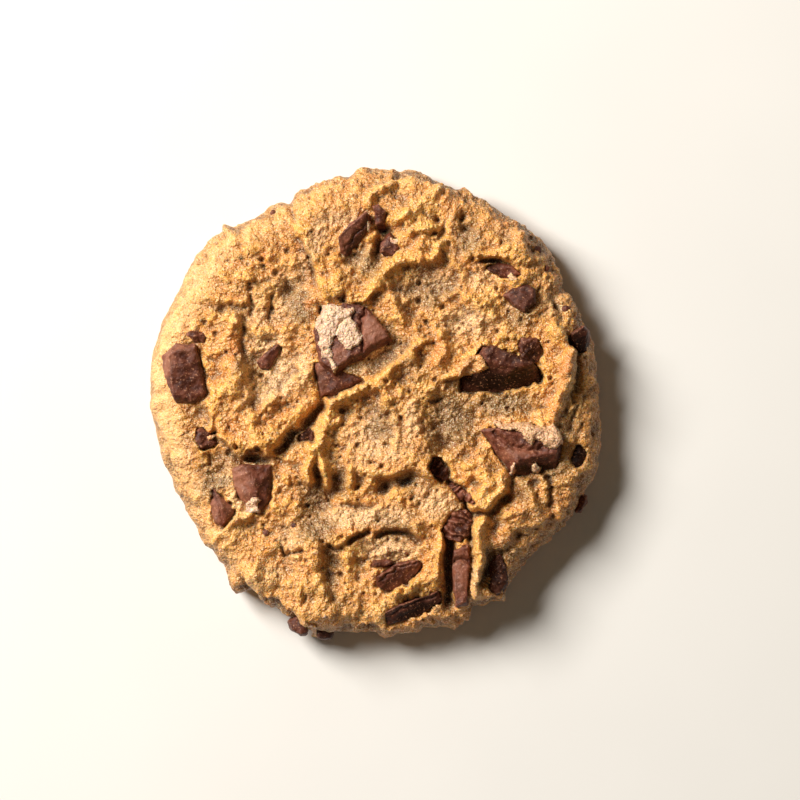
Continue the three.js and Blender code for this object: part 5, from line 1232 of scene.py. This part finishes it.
def make_dough():
    """The dough's mesh, closed by a flat base, with the values that its colours need."""
    steps, points, info = dough_rings()
    points = np.vstack([[0, 0, points[:SIDES, 2].mean()], points])
    info = {k: np.concatenate([[v[0]], v]) for k, v in info.items()}
    faces = []
    last = [0]
    start = 1
    for s in steps:
        ring = list(range(start, start + s["corners"]))
        faces += stitch(last, ring)
        last, start = ring, start + s["corners"]
    foot = points[last]
    base_first = len(points)
    extra = []
    for k in range(1, BASE_RINGS):
        share = 1 - k / BASE_RINGS
        count = max(SIDES, int(len(last) * share / SIDES) * SIDES)
        picked = foot[(np.arange(count) * len(foot)) // count][:, :2] * share
        size = BASE_DENTS["size"]
        dent = BASE_DENTS["depth"] * noise(picked[:, 0] / size, picked[:, 1] / size, 0, BASE_DENTS["seed"])
        extra.append(np.column_stack([picked, dent * min(1, 2 * k / BASE_RINGS)]))
    number = base_first
    for ring_points in extra:
        ring = list(range(number, number + len(ring_points)))
        faces += stitch(last, ring)
        last, number = ring, number + len(ring_points)
    extra.append(np.array([[0, 0, BASE_MIDDLE]]))
    faces += stitch(last, [number])
    n_extra = number + 1 - base_first
    points = np.vstack([points] + extra)
    info = {k: np.concatenate([v, np.full(n_extra, -1.0 if k == "rise" else 0.0)]) for k, v in info.items()}
    ob = mesh_object("cookie_dough", points, faces)
    x, y, z = points.T
    weight = info["turned"] + LEAST_WEIGHT
    near = z - local_mean(points, z, weight, NEAR)
    wide = z - local_mean(points, z, weight, WIDE)
    side = info["fine"] / FINE_RANGE
    t = info["turned"]

    def stands_out(tone, sign):
        top = tone["near"] * near + tone["wide"] * wide
        return smooth(sign * (t * top + (1 - t) * tone["side"] * side), tone["low"], tone["high"])

    crest, hollow = stands_out(CREST_TONE, 1), stands_out(HOLLOW_TONE, -1)
    radius = np.hypot(x, y)
    rim = smooth(radius / outline_radius(np.degrees(np.arctan2(y, x))), *RIM_TONES)
    attribute(ob, "crest", crest)
    # hollow carries painted shade: the dough is painted darker where it lies below the ground near it
    attribute(ob, "hollow", hollow)
    up = smooth(z, *TOP_TONES)
    # gold also holds painted light on slopes turned from the lamp, and shade holds painted shade
    for name, places in (("toast", TOAST), ("gold_and_painted_light", GOLD_AND_PAINTED_LIGHT), ("pale", PALE), ("shade", SHADE)):
        attribute(ob, name, spots(x, y, places) * up)
    # painted shadow deep in the gaps and pits, with dough soaked dark by chocolate
    attribute(ob, "gap_shadow_and_melt", spots(x, y, GAP_SHADOW_AND_MELT) * up * smooth(hollow, *GAP_SHADOW_TONES))
    attribute(ob, "cream", np.zeros(len(x)))
    attribute(ob, "rim", rim)
    # the crust is painted paler: partly the smooth crust's own tone, partly painted light on the side that
    # faces the lamp
    attribute(ob, "crust", crust(x, y) * (info["rise"] > 0))
    attribute(ob, "under", smooth(-info["rise"], *UNDER_TONES))
    return ob


# Materials

def srgb(r, g, b):
    """A colour given as 0 to 255 in sRGB, as linear values."""
    def lin(v):
        v = v / 255
        return v / 12.92 if v <= 0.04045 else ((v + 0.055) / 1.055) ** 2.4

    return (lin(r), lin(g), lin(b), 1.0)


class Nodes:
    """Short calls for building a node tree."""

    def __init__(self, name):
        self.material = bpy.data.materials.new(name)
        self.material.use_nodes = True
        self.tree = self.material.node_tree
        self.shader = self.tree.nodes["Principled BSDF"]

    def add(self, kind, **settings):
        node = self.tree.nodes.new(kind)
        for key, value in settings.items():
            if key in node.inputs:
                node.inputs[key].default_value = value
            else:
                setattr(node, key, value)
        return node

    def link(self, source, target):
        self.tree.links.new(source, target)

    def attribute(self, name):
        return self.add("ShaderNodeAttribute", attribute_name=name).outputs["Fac"]

    def feed(self, value, socket):
        """Links a socket to another one, or sets it to a constant."""
        if isinstance(value, bpy.types.NodeSocket):
            self.link(value, socket)
        else:
            socket.default_value = value

    def mix(self, factor, a, b):
        node = self.add("ShaderNodeMix", data_type="RGBA")
        for value, socket in ((factor, node.inputs[0]), (a, node.inputs[6]), (b, node.inputs[7])):
            self.feed(value, socket)
        return node.outputs[2]

    def math(self, operation, a, b):
        node = self.add("ShaderNodeMath", operation=operation)
        self.feed(a, node.inputs[0])
        self.feed(b, node.inputs[1])
        return node.outputs[0]

    def tint(self, colour, factor, strength, tone):
        """A colour with a tone laid over it, as strongly as a factor times a strength."""
        return self.mix(self.math("MULTIPLY", factor, strength), colour, srgb(*tone))

    def ramp(self, source, low, high):
        """From 0 to 1 as the source goes from low to high, which may lie below low."""
        node = self.add("ShaderNodeMapRange", interpolation_type="SMOOTHSTEP")
        node.inputs["From Min"].default_value = low
        node.inputs["From Max"].default_value = high
        self.link(source, node.inputs["Value"])
        return node.outputs["Result"]

    def noise(self, size_mm, detail=2.0, roughness=0.5):
        node = self.add("ShaderNodeTexNoise", Scale=1 / (size_mm * MM), Detail=detail, Roughness=roughness)
        self.link(self.place(), node.inputs["Vector"])
        return node.outputs["Fac"]

    def cells(self, size_mm):
        node = self.add("ShaderNodeTexVoronoi", Scale=1 / (size_mm * MM))
        self.link(self.place(), node.inputs["Vector"])
        return node.outputs["Distance"]

    def place(self):
        if not hasattr(self, "_place"):
            self._place = self.add("ShaderNodeTexCoord").outputs["Object"]
        return self._place

    def bump(self, height, distance_mm, strength=1.0, before=None):
        node = self.add("ShaderNodeBump", Distance=distance_mm * MM, Strength=strength)
        self.link(height, node.inputs["Height"])
        if before is not None:
            self.link(before, node.inputs["Normal"])
        return node.outputs["Normal"]


# Tones of the dough, each with the name of its attribute, its strength and its colour, in their order
TONES = [
    ("pale", 0.9, (244, 204, 152)),
    # painted shade in low and shaded places
    ("shade", 0.95, (120, 84, 32)),
    ("toast", 0.75, (220, 126, 36)),
    # baked gold, together with painted light on slopes turned from the lamp
    ("gold_and_painted_light", 0.85, (255, 190, 92)),
    ("rim", 0.4, (226, 158, 80)),
    # paler smooth crust, partly painted light on the side facing the lamp
    ("crust", 0.65, (244, 196, 134)),
    # painted shade in the hollows
    ("hollow", 0.85, (106, 64, 20)),
    # painted shadow deep in gaps and pits, with dough soaked dark by chocolate
    ("gap_shadow_and_melt", 0.92, (38, 20, 10)),
    ("cream", 1.0, (226, 190, 160)),
]
CRUST_CALM = 0.6  # how much of the fine colours the smooth crust takes away


def dough_material():
    """Baked dough: browning by place and height with painted shade in hollows, gaps and low places and
    painted light on some slopes, then crumb, grain, sand and pores, with painted highlights on grain tops and
    painted shade low down.
    """
    n = Nodes("dough")
    mottle = n.noise(3.0, 3)
    blotch = n.noise(1.3, 3, 0.65)
    grain = n.noise(0.5, 2, 0.6)
    sand = n.noise(0.26, 1, 0.5)
    crumb = n.ramp(n.cells(0.95), 0.6, 0.1)
    bead = n.ramp(n.cells(0.5), 0.6, 0.1)
    painted_pore_shade = n.math("MULTIPLY", n.ramp(n.cells(0.8), 0.2, 0.1), n.ramp(blotch, 0.5, 0.62))
    colour = n.mix(n.ramp(mottle, 0.3, 0.7), srgb(228, 161, 73), srgb(207, 130, 42))
    colour = n.tint(colour, n.ramp(n.attribute("crest"), 0.1, 0.9), 0.8, (246, 177, 73))
    for name, strength, tone in TONES:
        colour = n.tint(colour, n.attribute(name), strength, tone)
    colour = n.tint(colour, n.ramp(blotch, 0.54, 0.72), 0.45, (172, 110, 48))
    colour = n.tint(colour, n.ramp(blotch, 0.46, 0.3), 0.45, (245, 202, 150))
    plain = n.math("SUBTRACT", 1.0, n.math("MULTIPLY", n.attribute("crust"), CRUST_CALM))
    # Painted highlight on the raised crumbs and sand grains; the low grain and sand are painted darker,
    # reddish specks together with painted shade
    for factor, strength, tone in (
        (crumb, 0.3, (249, 209, 148)),
        (n.ramp(grain, 0.46, 0.3), 0.6, (144, 84, 28)),
        (n.ramp(sand, 0.52, 0.75), 0.65, (255, 235, 201)),
        (n.ramp(sand, 0.46, 0.25), 0.8, (120, 64, 20)),
    ):
        colour = n.tint(colour, n.math("MULTIPLY", factor, plain), strength, tone)
    # painted shade in small pores
    colour = n.tint(colour, painted_pore_shade, 0.8, (78, 44, 16))
    colour = n.tint(colour, n.attribute("under"), 1.0, (176, 118, 62))
    n.link(colour, n.shader.inputs["Base Color"])
    for name, value in (
        ("Roughness", 0.5),
        ("Specular IOR Level", 0.6),
        ("Subsurface Weight", 0.4),
        ("Subsurface Radius", (1.0, 0.5, 0.2)),
        ("Subsurface Scale", 0.6 * MM),
    ):
        n.shader.inputs[name].default_value = value
    relief = None
    for height, distance in ((blotch, 0.2), (crumb, 0.2), (bead, 0.12), (grain, 0.16), (sand, 0.1)):
        relief = n.bump(height, distance, 1.0, relief)
    n.link(relief, n.shader.inputs["Normal"])
    return n.material


def chocolate_material():
    """Dark chocolate with a cloudy bloom, scuffs, rubbed pale edges and dust, painted lighter on faces toward
    the lamp and darker on faces turned from it.
    """
    n = Nodes("chocolate")
    cloud = n.noise(1.7, 4, 0.6)
    dust = n.noise(0.42, 2, 0.6)
    scuff = n.noise(0.7, 4, 0.75)
    dark = n.attribute("dark")
    colour = n.mix(n.ramp(cloud, 0.36, 0.66), srgb(72, 31, 19), srgb(120, 64, 44))
    for factor, strength, tone in (
        (n.ramp(scuff, 0.52, 0.68), 0.5, (150, 94, 72)),
        (n.ramp(scuff, 0.46, 0.34), 0.5, (52, 24, 16)),
        # rubbed pale edges and painted light on faces toward the lamp
        (n.attribute("wear_and_painted_light"), 0.75, (166, 108, 82)),
        # dark melted chocolate, with painted shade on faces turned from the lamp
        (dark, 0.94, (30, 15, 9)),
        (n.ramp(dust, 0.6, 0.68), 0.7, (186, 132, 98)),
    ):
        colour = n.tint(colour, factor, strength, tone)
    n.link(colour, n.shader.inputs["Base Color"])
    dull = n.math("ADD", n.math("MULTIPLY", n.ramp(cloud, 0.3, 0.7), 0.12), 0.38)
    shine = n.math("SUBTRACT", 0.34, n.math("MULTIPLY", dark, 0.2))
    n.link(dull, n.shader.inputs["Roughness"])
    n.link(shine, n.shader.inputs["Specular IOR Level"])
    rough = n.bump(scuff, 0.24, 0.9)
    n.link(n.bump(dust, 0.08, 0.9, rough), n.shader.inputs["Normal"])
    return n.material


# Chocolate pieces

CHOCOLATE_VOXEL = 0.17
CHOCOLATE_SOFTNESS = 0.5
# Unevenness of broken chocolate, coarse to fine
WEAR = [
    dict(size=3.2, rise=0.16, seed=81),
    dict(size=1.2, rise=0.13, seed=82),
    dict(size=0.5, rise=0.07, seed=83),
]
# Hollow scoops that meet in ridges, as chocolate breaks
SCOOPS = dict(size=2.0, rise=0.4, mean=0.3, seed=86)
# Pieces that melted, and how much more uneven they are
MELTED = [
    "melt_upper", "melt_trail", "melt_crinkled", "lower_stub", "left_melt",
    "left_chip", "right_melt", "crevice_chip", "edge_oval",
]
CHIP_MELT = 2.6
# Wrinkles in the skin of melted chocolate, and how far they wander
RIPPLE_STRAY = dict(size=1.6, shift=1.2, seed=85)
RIPPLES = [
    dict(on="melt_crinkled", rise=0.3, size=1.7, turn=75),
    dict(on="melt_trail", rise=0.25, size=1.2, turn=-40),
    dict(on="melt_upper", rise=0.25, size=1.6, turn=-60),
]
# Breaks wander a little, and the chocolate to their right lies lower
BREAK_STRAY = dict(size=0.9, shift=0.5, seed=84)
BREAK_STEP = dict(depth=0.25, width=3.0)
# How far up a face looks, from where carving sets in to where it is full
FACING_UP = (0.2, 0.7)
# How sharply an edge bends from where it is a little worn to where it is fully so, and rounds of spreading
WORN_BEND = (0.06, 0.22)
WORN_SPREAD = 2


def solid_mesh(chunk):
    """A finely divided mesh of the form that a chunk's solid has."""
    bm = bmesh.new()
    for p in chunk["upper"] + chunk["foot"]:
        bm.verts.new(Vector(p) * MM)
    bmesh.ops.convex_hull(bm, input=bm.verts)
    bmesh.ops.delete(bm, geom=[v for v in bm.verts if not v.link_faces], context="VERTS")
    mesh = bpy.data.meshes.new(chunk["name"])
    bm.to_mesh(mesh)
    bm.free()
    ob = bpy.data.objects.new(chunk["name"] + "_chocolate", mesh)
    bpy.context.scene.collection.objects.link(ob)
    remesh = ob.modifiers.new("remesh", "REMESH")
    remesh.mode = "VOXEL"
    remesh.voxel_size = CHOCOLATE_VOXEL * MM
    melt = ob.modifiers.new("melt", "SMOOTH")
    melt.factor = CHOCOLATE_SOFTNESS
    melt.iterations = 1
    dg = bpy.context.evaluated_depsgraph_get()
    mesh = bpy.data.meshes.new_from_object(ob.evaluated_get(dg))
    ob.modifiers.clear()
    ob.data = mesh
    mesh.materials.clear()
    return ob


def vertex_values(mesh, key):
    """The places (co) or normals (normal) of a mesh's corners, one row for each."""
    values = np.empty(len(mesh.vertices) * 3)
    mesh.vertices.foreach_get(key, values)
    return values.reshape(-1, 3)


def wear(name, x, y, z, upward):
    """How far the face of a piece of chocolate stands out at each corner."""
    out = 0.0
    for w in WEAR:
        out = out + w["rise"] * (2 * noise(x / w["size"], y / w["size"], z / w["size"], w["seed"]) - 1)
    out = out * (CHIP_MELT if name in MELTED else 1.0)
    scoop, _ = cells(x, y, z, SCOOPS["size"], SCOOPS["seed"])
    out += SCOOPS["rise"] * (np.minimum(scoop, 1) ** 2 - SCOOPS["mean"])
    stray = RIPPLE_STRAY
    for rip in RIPPLES:
        if rip["on"] == name:
            turn = math.radians(rip["turn"])
            way = x * math.cos(turn) + y * math.sin(turn)
            way = way + stray["shift"] * noise(x / stray["size"], y / stray["size"], 0, stray["seed"])
            out += rip["rise"] * np.sin(2 * math.pi * way / rip["size"]) * upward
    return out


def break_depth(name, x, y):
    """How deep the breaks of a piece of chocolate lie below its face."""
    depth = np.zeros(x.shape)
    for br in BREAKS:
        if br["on"] == name:
            size = BREAK_STRAY["size"]
            bend = BREAK_STRAY["shift"] * (noise(x / size, y / size, 0, BREAK_STRAY["seed"]) - 0.5)
            far, side = off_path(x + bend, y - bend, br["path"])
            depth += br["depth"] * bell(far, br["width"])
            depth += BREAK_STEP["depth"] * (side < 0) * bell(far, BREAK_STEP["width"])
    return depth


def make_chunk(chunk):
    """A broken piece of chocolate with slightly rubbed edges, round the corners that its solid has, with
    painted light and painted shade on some faces.
    """
    ob = solid_mesh(chunk)
    mesh = ob.data
    p, normal = vertex_values(mesh, "co") / MM, vertex_values(mesh, "normal")
    x, y, z = p.T
    upward = smooth(normal[:, 2], *FACING_UP)
    p = p + normal * wear(chunk["name"], x, y, z, upward)[:, None]
    p[:, 2] -= break_depth(chunk["name"], x, y) * upward
    p = np.clip(p * MM, *cad_box)
    mesh.vertices.foreach_set("co", p.ravel())
    mesh.update()
    shade_smooth(mesh)
    # rubbed pale edges, together with painted light on the faces listed in the painted light table
    attribute(ob, "wear_and_painted_light", np.maximum(worn_edges(mesh, normal), spots(x, y, PAINTED_LIGHT_FACES)))
    # dark melted chocolate, with painted shade on faces turned from the lamp
    attribute(ob, "dark", spots(x, y, MELT_AND_PAINTED_SHADE))
    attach(ob, "root")
    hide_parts(chunk["name"])
    return ob


def worn_edges(mesh, normal):
    """From 0 to 1, how much each corner of a mesh lies on an outward edge."""
    n = len(mesh.vertices)
    edges = np.empty(len(mesh.edges) * 2, int)
    mesh.edges.foreach_get("vertices", edges)
    a, b = edges.reshape(-1, 2).T
    co = vertex_values(mesh, "co")
    total, count = np.zeros(n), np.zeros(n)
    span = co[b] - co[a]
    length = np.linalg.norm(span, axis=1) + 1e-12  # never nothing, as it is divided by
    np.add.at(total, a, -(span * normal[a]).sum(1) / length)
    np.add.at(total, b, (span * normal[b]).sum(1) / length)
    np.add.at(count, a, 1)
    np.add.at(count, b, 1)
    bend = total / np.maximum(count, 1)
    for _ in range(WORN_SPREAD):
        spread = np.zeros(n)
        np.add.at(spread, a, bend[b])
        np.add.at(spread, b, bend[a])
        bend = 0.5 * bend + 0.5 * spread / np.maximum(count, 1)
    return smooth(bend, *WORN_BEND)


# Smears, crumbs and specks

SMEAR_CELL = 0.22  # width of one face of a smear's mesh
SMEAR_EDGE = 0.9  # width over which its edge gets thin
SMEAR_ROUND = 0.6  # power that rounds this edge
SMEAR_SINK = 0.35  # how far it reaches into what lies under it
SMEAR_MARGIN = 0.6  # how far round its outline the mesh goes
SMEAR_LEAST = 0.02  # share of its full thickness below which it ends
SMEAR_SETTLE = 6  # rounds in which it spans the gaps below it
# How uneven its outline, its thickness and its face are
SMEAR_STRAY = dict(size=1.0, shift=0.7, seed=101)
SMEAR_SWELL = dict(size=1.3, least=0.75, span=0.5, seed=102)
SMEAR_GRAIN = dict(size=0.6, shift=0.3, seed=103)
# Specks: how uneven they are, and how flat
SPECK_STRAY = dict(size=0.7, shift=0.5, seed=111)
SPECK_STEP = 9
SPECK_FLAT = 0.45
EYE_LEVEL = 0.05  # a height above everything, in metres


def ground():
    """The surface under a point, looking down on all pieces made so far."""
    trees = []
    for ob in bpy.context.scene.objects:
        if ob.type == "MESH" and (ob.name.endswith("_chocolate") or ob.name == "cookie_dough"):
            corners = [v.co for v in ob.data.vertices]
            trees.append(BVHTree.FromPolygons(corners, [p.vertices for p in ob.data.polygons]))

    def height(x, y):
        eye = Vector((x * MM, y * MM, EYE_LEVEL))
        hits = (tree.ray_cast(eye, Vector((0, 0, -1)))[0] for tree in trees)
        return max([h.z / MM for h in hits if h is not None], default=0.0)

    return height


def smear_mesh(smear, height):
    """Corners, faces and paleness of one smear, draped over what lies under it."""
    outline = smear["outline"]
    xs, ys = ([p[k] for p in outline] for k in (0, 1))
    gx, gy = (np.arange(min(v) - SMEAR_MARGIN, max(v) + SMEAR_MARGIN, SMEAR_CELL) for v in (xs, ys))
    x, y = np.meshgrid(gx, gy, indexing="ij")

    def rough(kind):
        return noise(x / kind["size"], y / kind["size"], 0, kind["seed"])

    far, _ = off_path(x, y, outline + outline[:1])
    inside = np.zeros(x.shape, bool)
    for (ax, ay), (bx, by) in zip(outline, outline[1:] + outline[:1]):
        cross = (ay > y) != (by > y)
        inside ^= cross & (x < ax + (y - ay) * (bx - ax) / (by - ay or 1))
    depth = np.where(inside, far, -far) + SMEAR_STRAY["shift"] * (rough(SMEAR_STRAY) - 0.5)
    body = smooth(depth, 0, SMEAR_EDGE) ** SMEAR_ROUND
    thick = smear["thick"] * body * (SMEAR_SWELL["least"] + SMEAR_SWELL["span"] * rough(SMEAR_SWELL))
    thick += SMEAR_GRAIN["shift"] * body * (rough(SMEAR_GRAIN) - 0.5)
    base = np.vectorize(height)(x, y)
    draped = base.copy()
    for _ in range(SMEAR_SETTLE):
        pad = np.pad(draped, 1, mode="edge")
        mean = (pad[:-2, 1:-1] + pad[2:, 1:-1] + pad[1:-1, :-2] + pad[1:-1, 2:]) / 4
        draped = np.maximum(base, mean)
    keep = body > SMEAR_LEAST
    number = -np.ones(x.shape, int)
    number[keep] = np.arange(keep.sum())
    n = int(keep.sum())
    top = np.stack([x[keep], y[keep], below_top(draped + thick)[keep]], 1)
    foot = np.stack([x[keep], y[keep], np.maximum(0, base - SMEAR_SINK)[keep]], 1)
    a, b, c, d = number[:-1, :-1], number[1:, :-1], number[1:, 1:], number[:-1, 1:]
    full = (a >= 0) & (b >= 0) & (c >= 0) & (d >= 0)
    quads = np.stack([a[full], b[full], c[full], d[full]], 1)
    sides = {}
    for q in quads:
        for i in range(4):
            e = (int(q[i]), int(q[(i + 1) % 4]))
            if (e[1], e[0]) in sides:
                del sides[(e[1], e[0])]
            else:
                sides[e] = True
    faces = [tuple(int(i) for i in q) for q in quads]
    faces += [tuple(int(i) + n for i in q[::-1]) for q in quads]
    faces += [(j, i, i + n, j + n) for i, j in sides]
    return np.vstack([top, foot]), faces, np.full(2 * n, smear["cream"])


def make_smears(height):
    """All smears and crumbs of dough that lie on the chocolate, as one piece."""
    points, faces, cream = [], [], []
    start = 0
    for smear in SMEARS:
        p, f, c = smear_mesh(smear, height)
        points.append(p)
        cream.append(c)
        faces += [tuple(i + start for i in face) for face in f]
        start += len(p)
    ob = mesh_object("smears", np.vstack(points), faces)
    for name in ["crest", "under"] + [tone[0] for tone in TONES if tone[0] != "cream"]:
        attribute(ob, name, np.zeros(start))
    attribute(ob, "cream", np.concatenate(cream))
    return ob


def make_specks(height):
    """Small bits of chocolate at the face of the dough."""
    bm = bmesh.new()
    stray = SPECK_STRAY
    for k, speck in enumerate(SPECKS):
        x, y = speck["at"]
        made = bmesh.ops.create_icosphere(bm, subdivisions=3, radius=speck["radius"] * MM)["verts"]
        for v in made:
            q = np.array(v.co) / MM
            place = q / stray["size"] + (SPECK_STEP * k, 0, 0)
            q *= 1 + stray["shift"] * (float(noise(*place, stray["seed"])) - 0.5)
            v.co = Vector((x + q[0], y + q[1], height(x, y) + SPECK_FLAT * q[2])) * MM
    mesh = bpy.data.meshes.new("specks")
    bm.to_mesh(mesh)
    bm.free()
    shade_smooth(mesh)
    ob = bpy.data.objects.new("specks", mesh)
    bpy.context.scene.collection.objects.link(ob)
    attribute(ob, "wear_and_painted_light", np.zeros(len(mesh.vertices)))
    return ob


# Stage

CAMERA_AT = (5.1, 0.8)  # what the middle of the picture shows, in millimetres
PICTURE_WIDTH = 160.0
FOCUS_HEIGHT = 10.0
CAMERA_DISTANCE = 1200.0
SENSOR = 36.0
# Lights: where they stand, in degrees and metres, their size in metres, their power in watts and their tint
LIGHTS = [
    dict(name="key", azimuth=146, elevation=42, distance=1.0, size=0.45, power=19.2, tint=(1.0, 0.965, 0.91)),
    dict(name="fill", azimuth=-40, elevation=60, distance=1.2, size=1.0, power=0.4, tint=(1.0, 0.98, 0.96)),
]
WORLD = dict(colour=(1.0, 0.74, 0.44, 1), strength=0.07)
# The ground: half its width in metres, the size of its mottle in millimetres and its two greys
FLOOR = dict(half=1.5, mottle=40, dark=(228, 226, 222), light=(234, 232, 228), roughness=0.9)


def make_camera():
    """A camera high above the round that looks straight down."""
    camera = bpy.data.cameras.new("camera")
    camera.sensor_width = SENSOR
    camera.lens = SENSOR * CAMERA_DISTANCE / PICTURE_WIDTH
    camera.clip_start, camera.clip_end = 0.05, 10
    eye = bpy.data.objects.new("camera", camera)
    eye.location = (CAMERA_AT[0] * MM, CAMERA_AT[1] * MM, (FOCUS_HEIGHT + CAMERA_DISTANCE) * MM)
    bpy.context.scene.collection.objects.link(eye)
    bpy.context.scene.camera = eye


def make_lights():
    """The soft lights, and a dim warm glow from all round."""
    for lamp in LIGHTS:
        light = bpy.data.lights.new(lamp["name"], "AREA")
        light.size, light.energy, light.color = lamp["size"], lamp["power"], lamp["tint"]
        ob = bpy.data.objects.new(lamp["name"], light)
        a, e = math.radians(lamp["azimuth"]), math.radians(lamp["elevation"])
        way = Vector((math.cos(a) * math.cos(e), math.sin(a) * math.cos(e), math.sin(e)))
        ob.location = way * lamp["distance"]
        ob.rotation_euler = way.to_track_quat("Z", "Y").to_euler()
        bpy.context.scene.collection.objects.link(ob)
    world = bpy.data.worlds.new("studio")
    bpy.context.scene.world = world
    world.use_nodes = True
    background = world.node_tree.nodes["Background"]
    background.inputs["Color"].default_value = WORLD["colour"]
    background.inputs["Strength"].default_value = WORLD["strength"]
    bpy.context.scene.view_settings.view_transform = "Standard"


def make_floor():
    """The plain pale ground."""
    bm = bmesh.new()
    bmesh.ops.create_grid(bm, x_segments=8, y_segments=8, size=FLOOR["half"])
    floor_mesh = bpy.data.meshes.new("floor")
    bm.to_mesh(floor_mesh)
    bm.free()
    floor = bpy.data.objects.new("floor", floor_mesh)
    bpy.context.scene.collection.objects.link(floor)
    n = Nodes("floor")
    colour = n.mix(n.noise(FLOOR["mottle"]), srgb(*FLOOR["dark"]), srgb(*FLOOR["light"]))
    n.link(colour, n.shader.inputs["Base Color"])
    n.shader.inputs["Roughness"].default_value = FLOOR["roughness"]
    floor_mesh.materials.append(n.material)


# Put together

make_camera()
make_lights()
make_floor()
dough = make_dough()
baked = dough_material()
dough.data.materials.append(baked)
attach(dough, "root")
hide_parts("dough")
chocolate = chocolate_material()
for chunk in CHUNKS:
    make_chunk(chunk).data.materials.append(chocolate)
surface = ground()
smears = make_smears(surface)
specks = make_specks(surface)
for piece, material, slot in ((smears, baked, "dough"), (specks, chocolate, "chocolate")):
    piece.data.materials.append(material)
    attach(piece, "root")
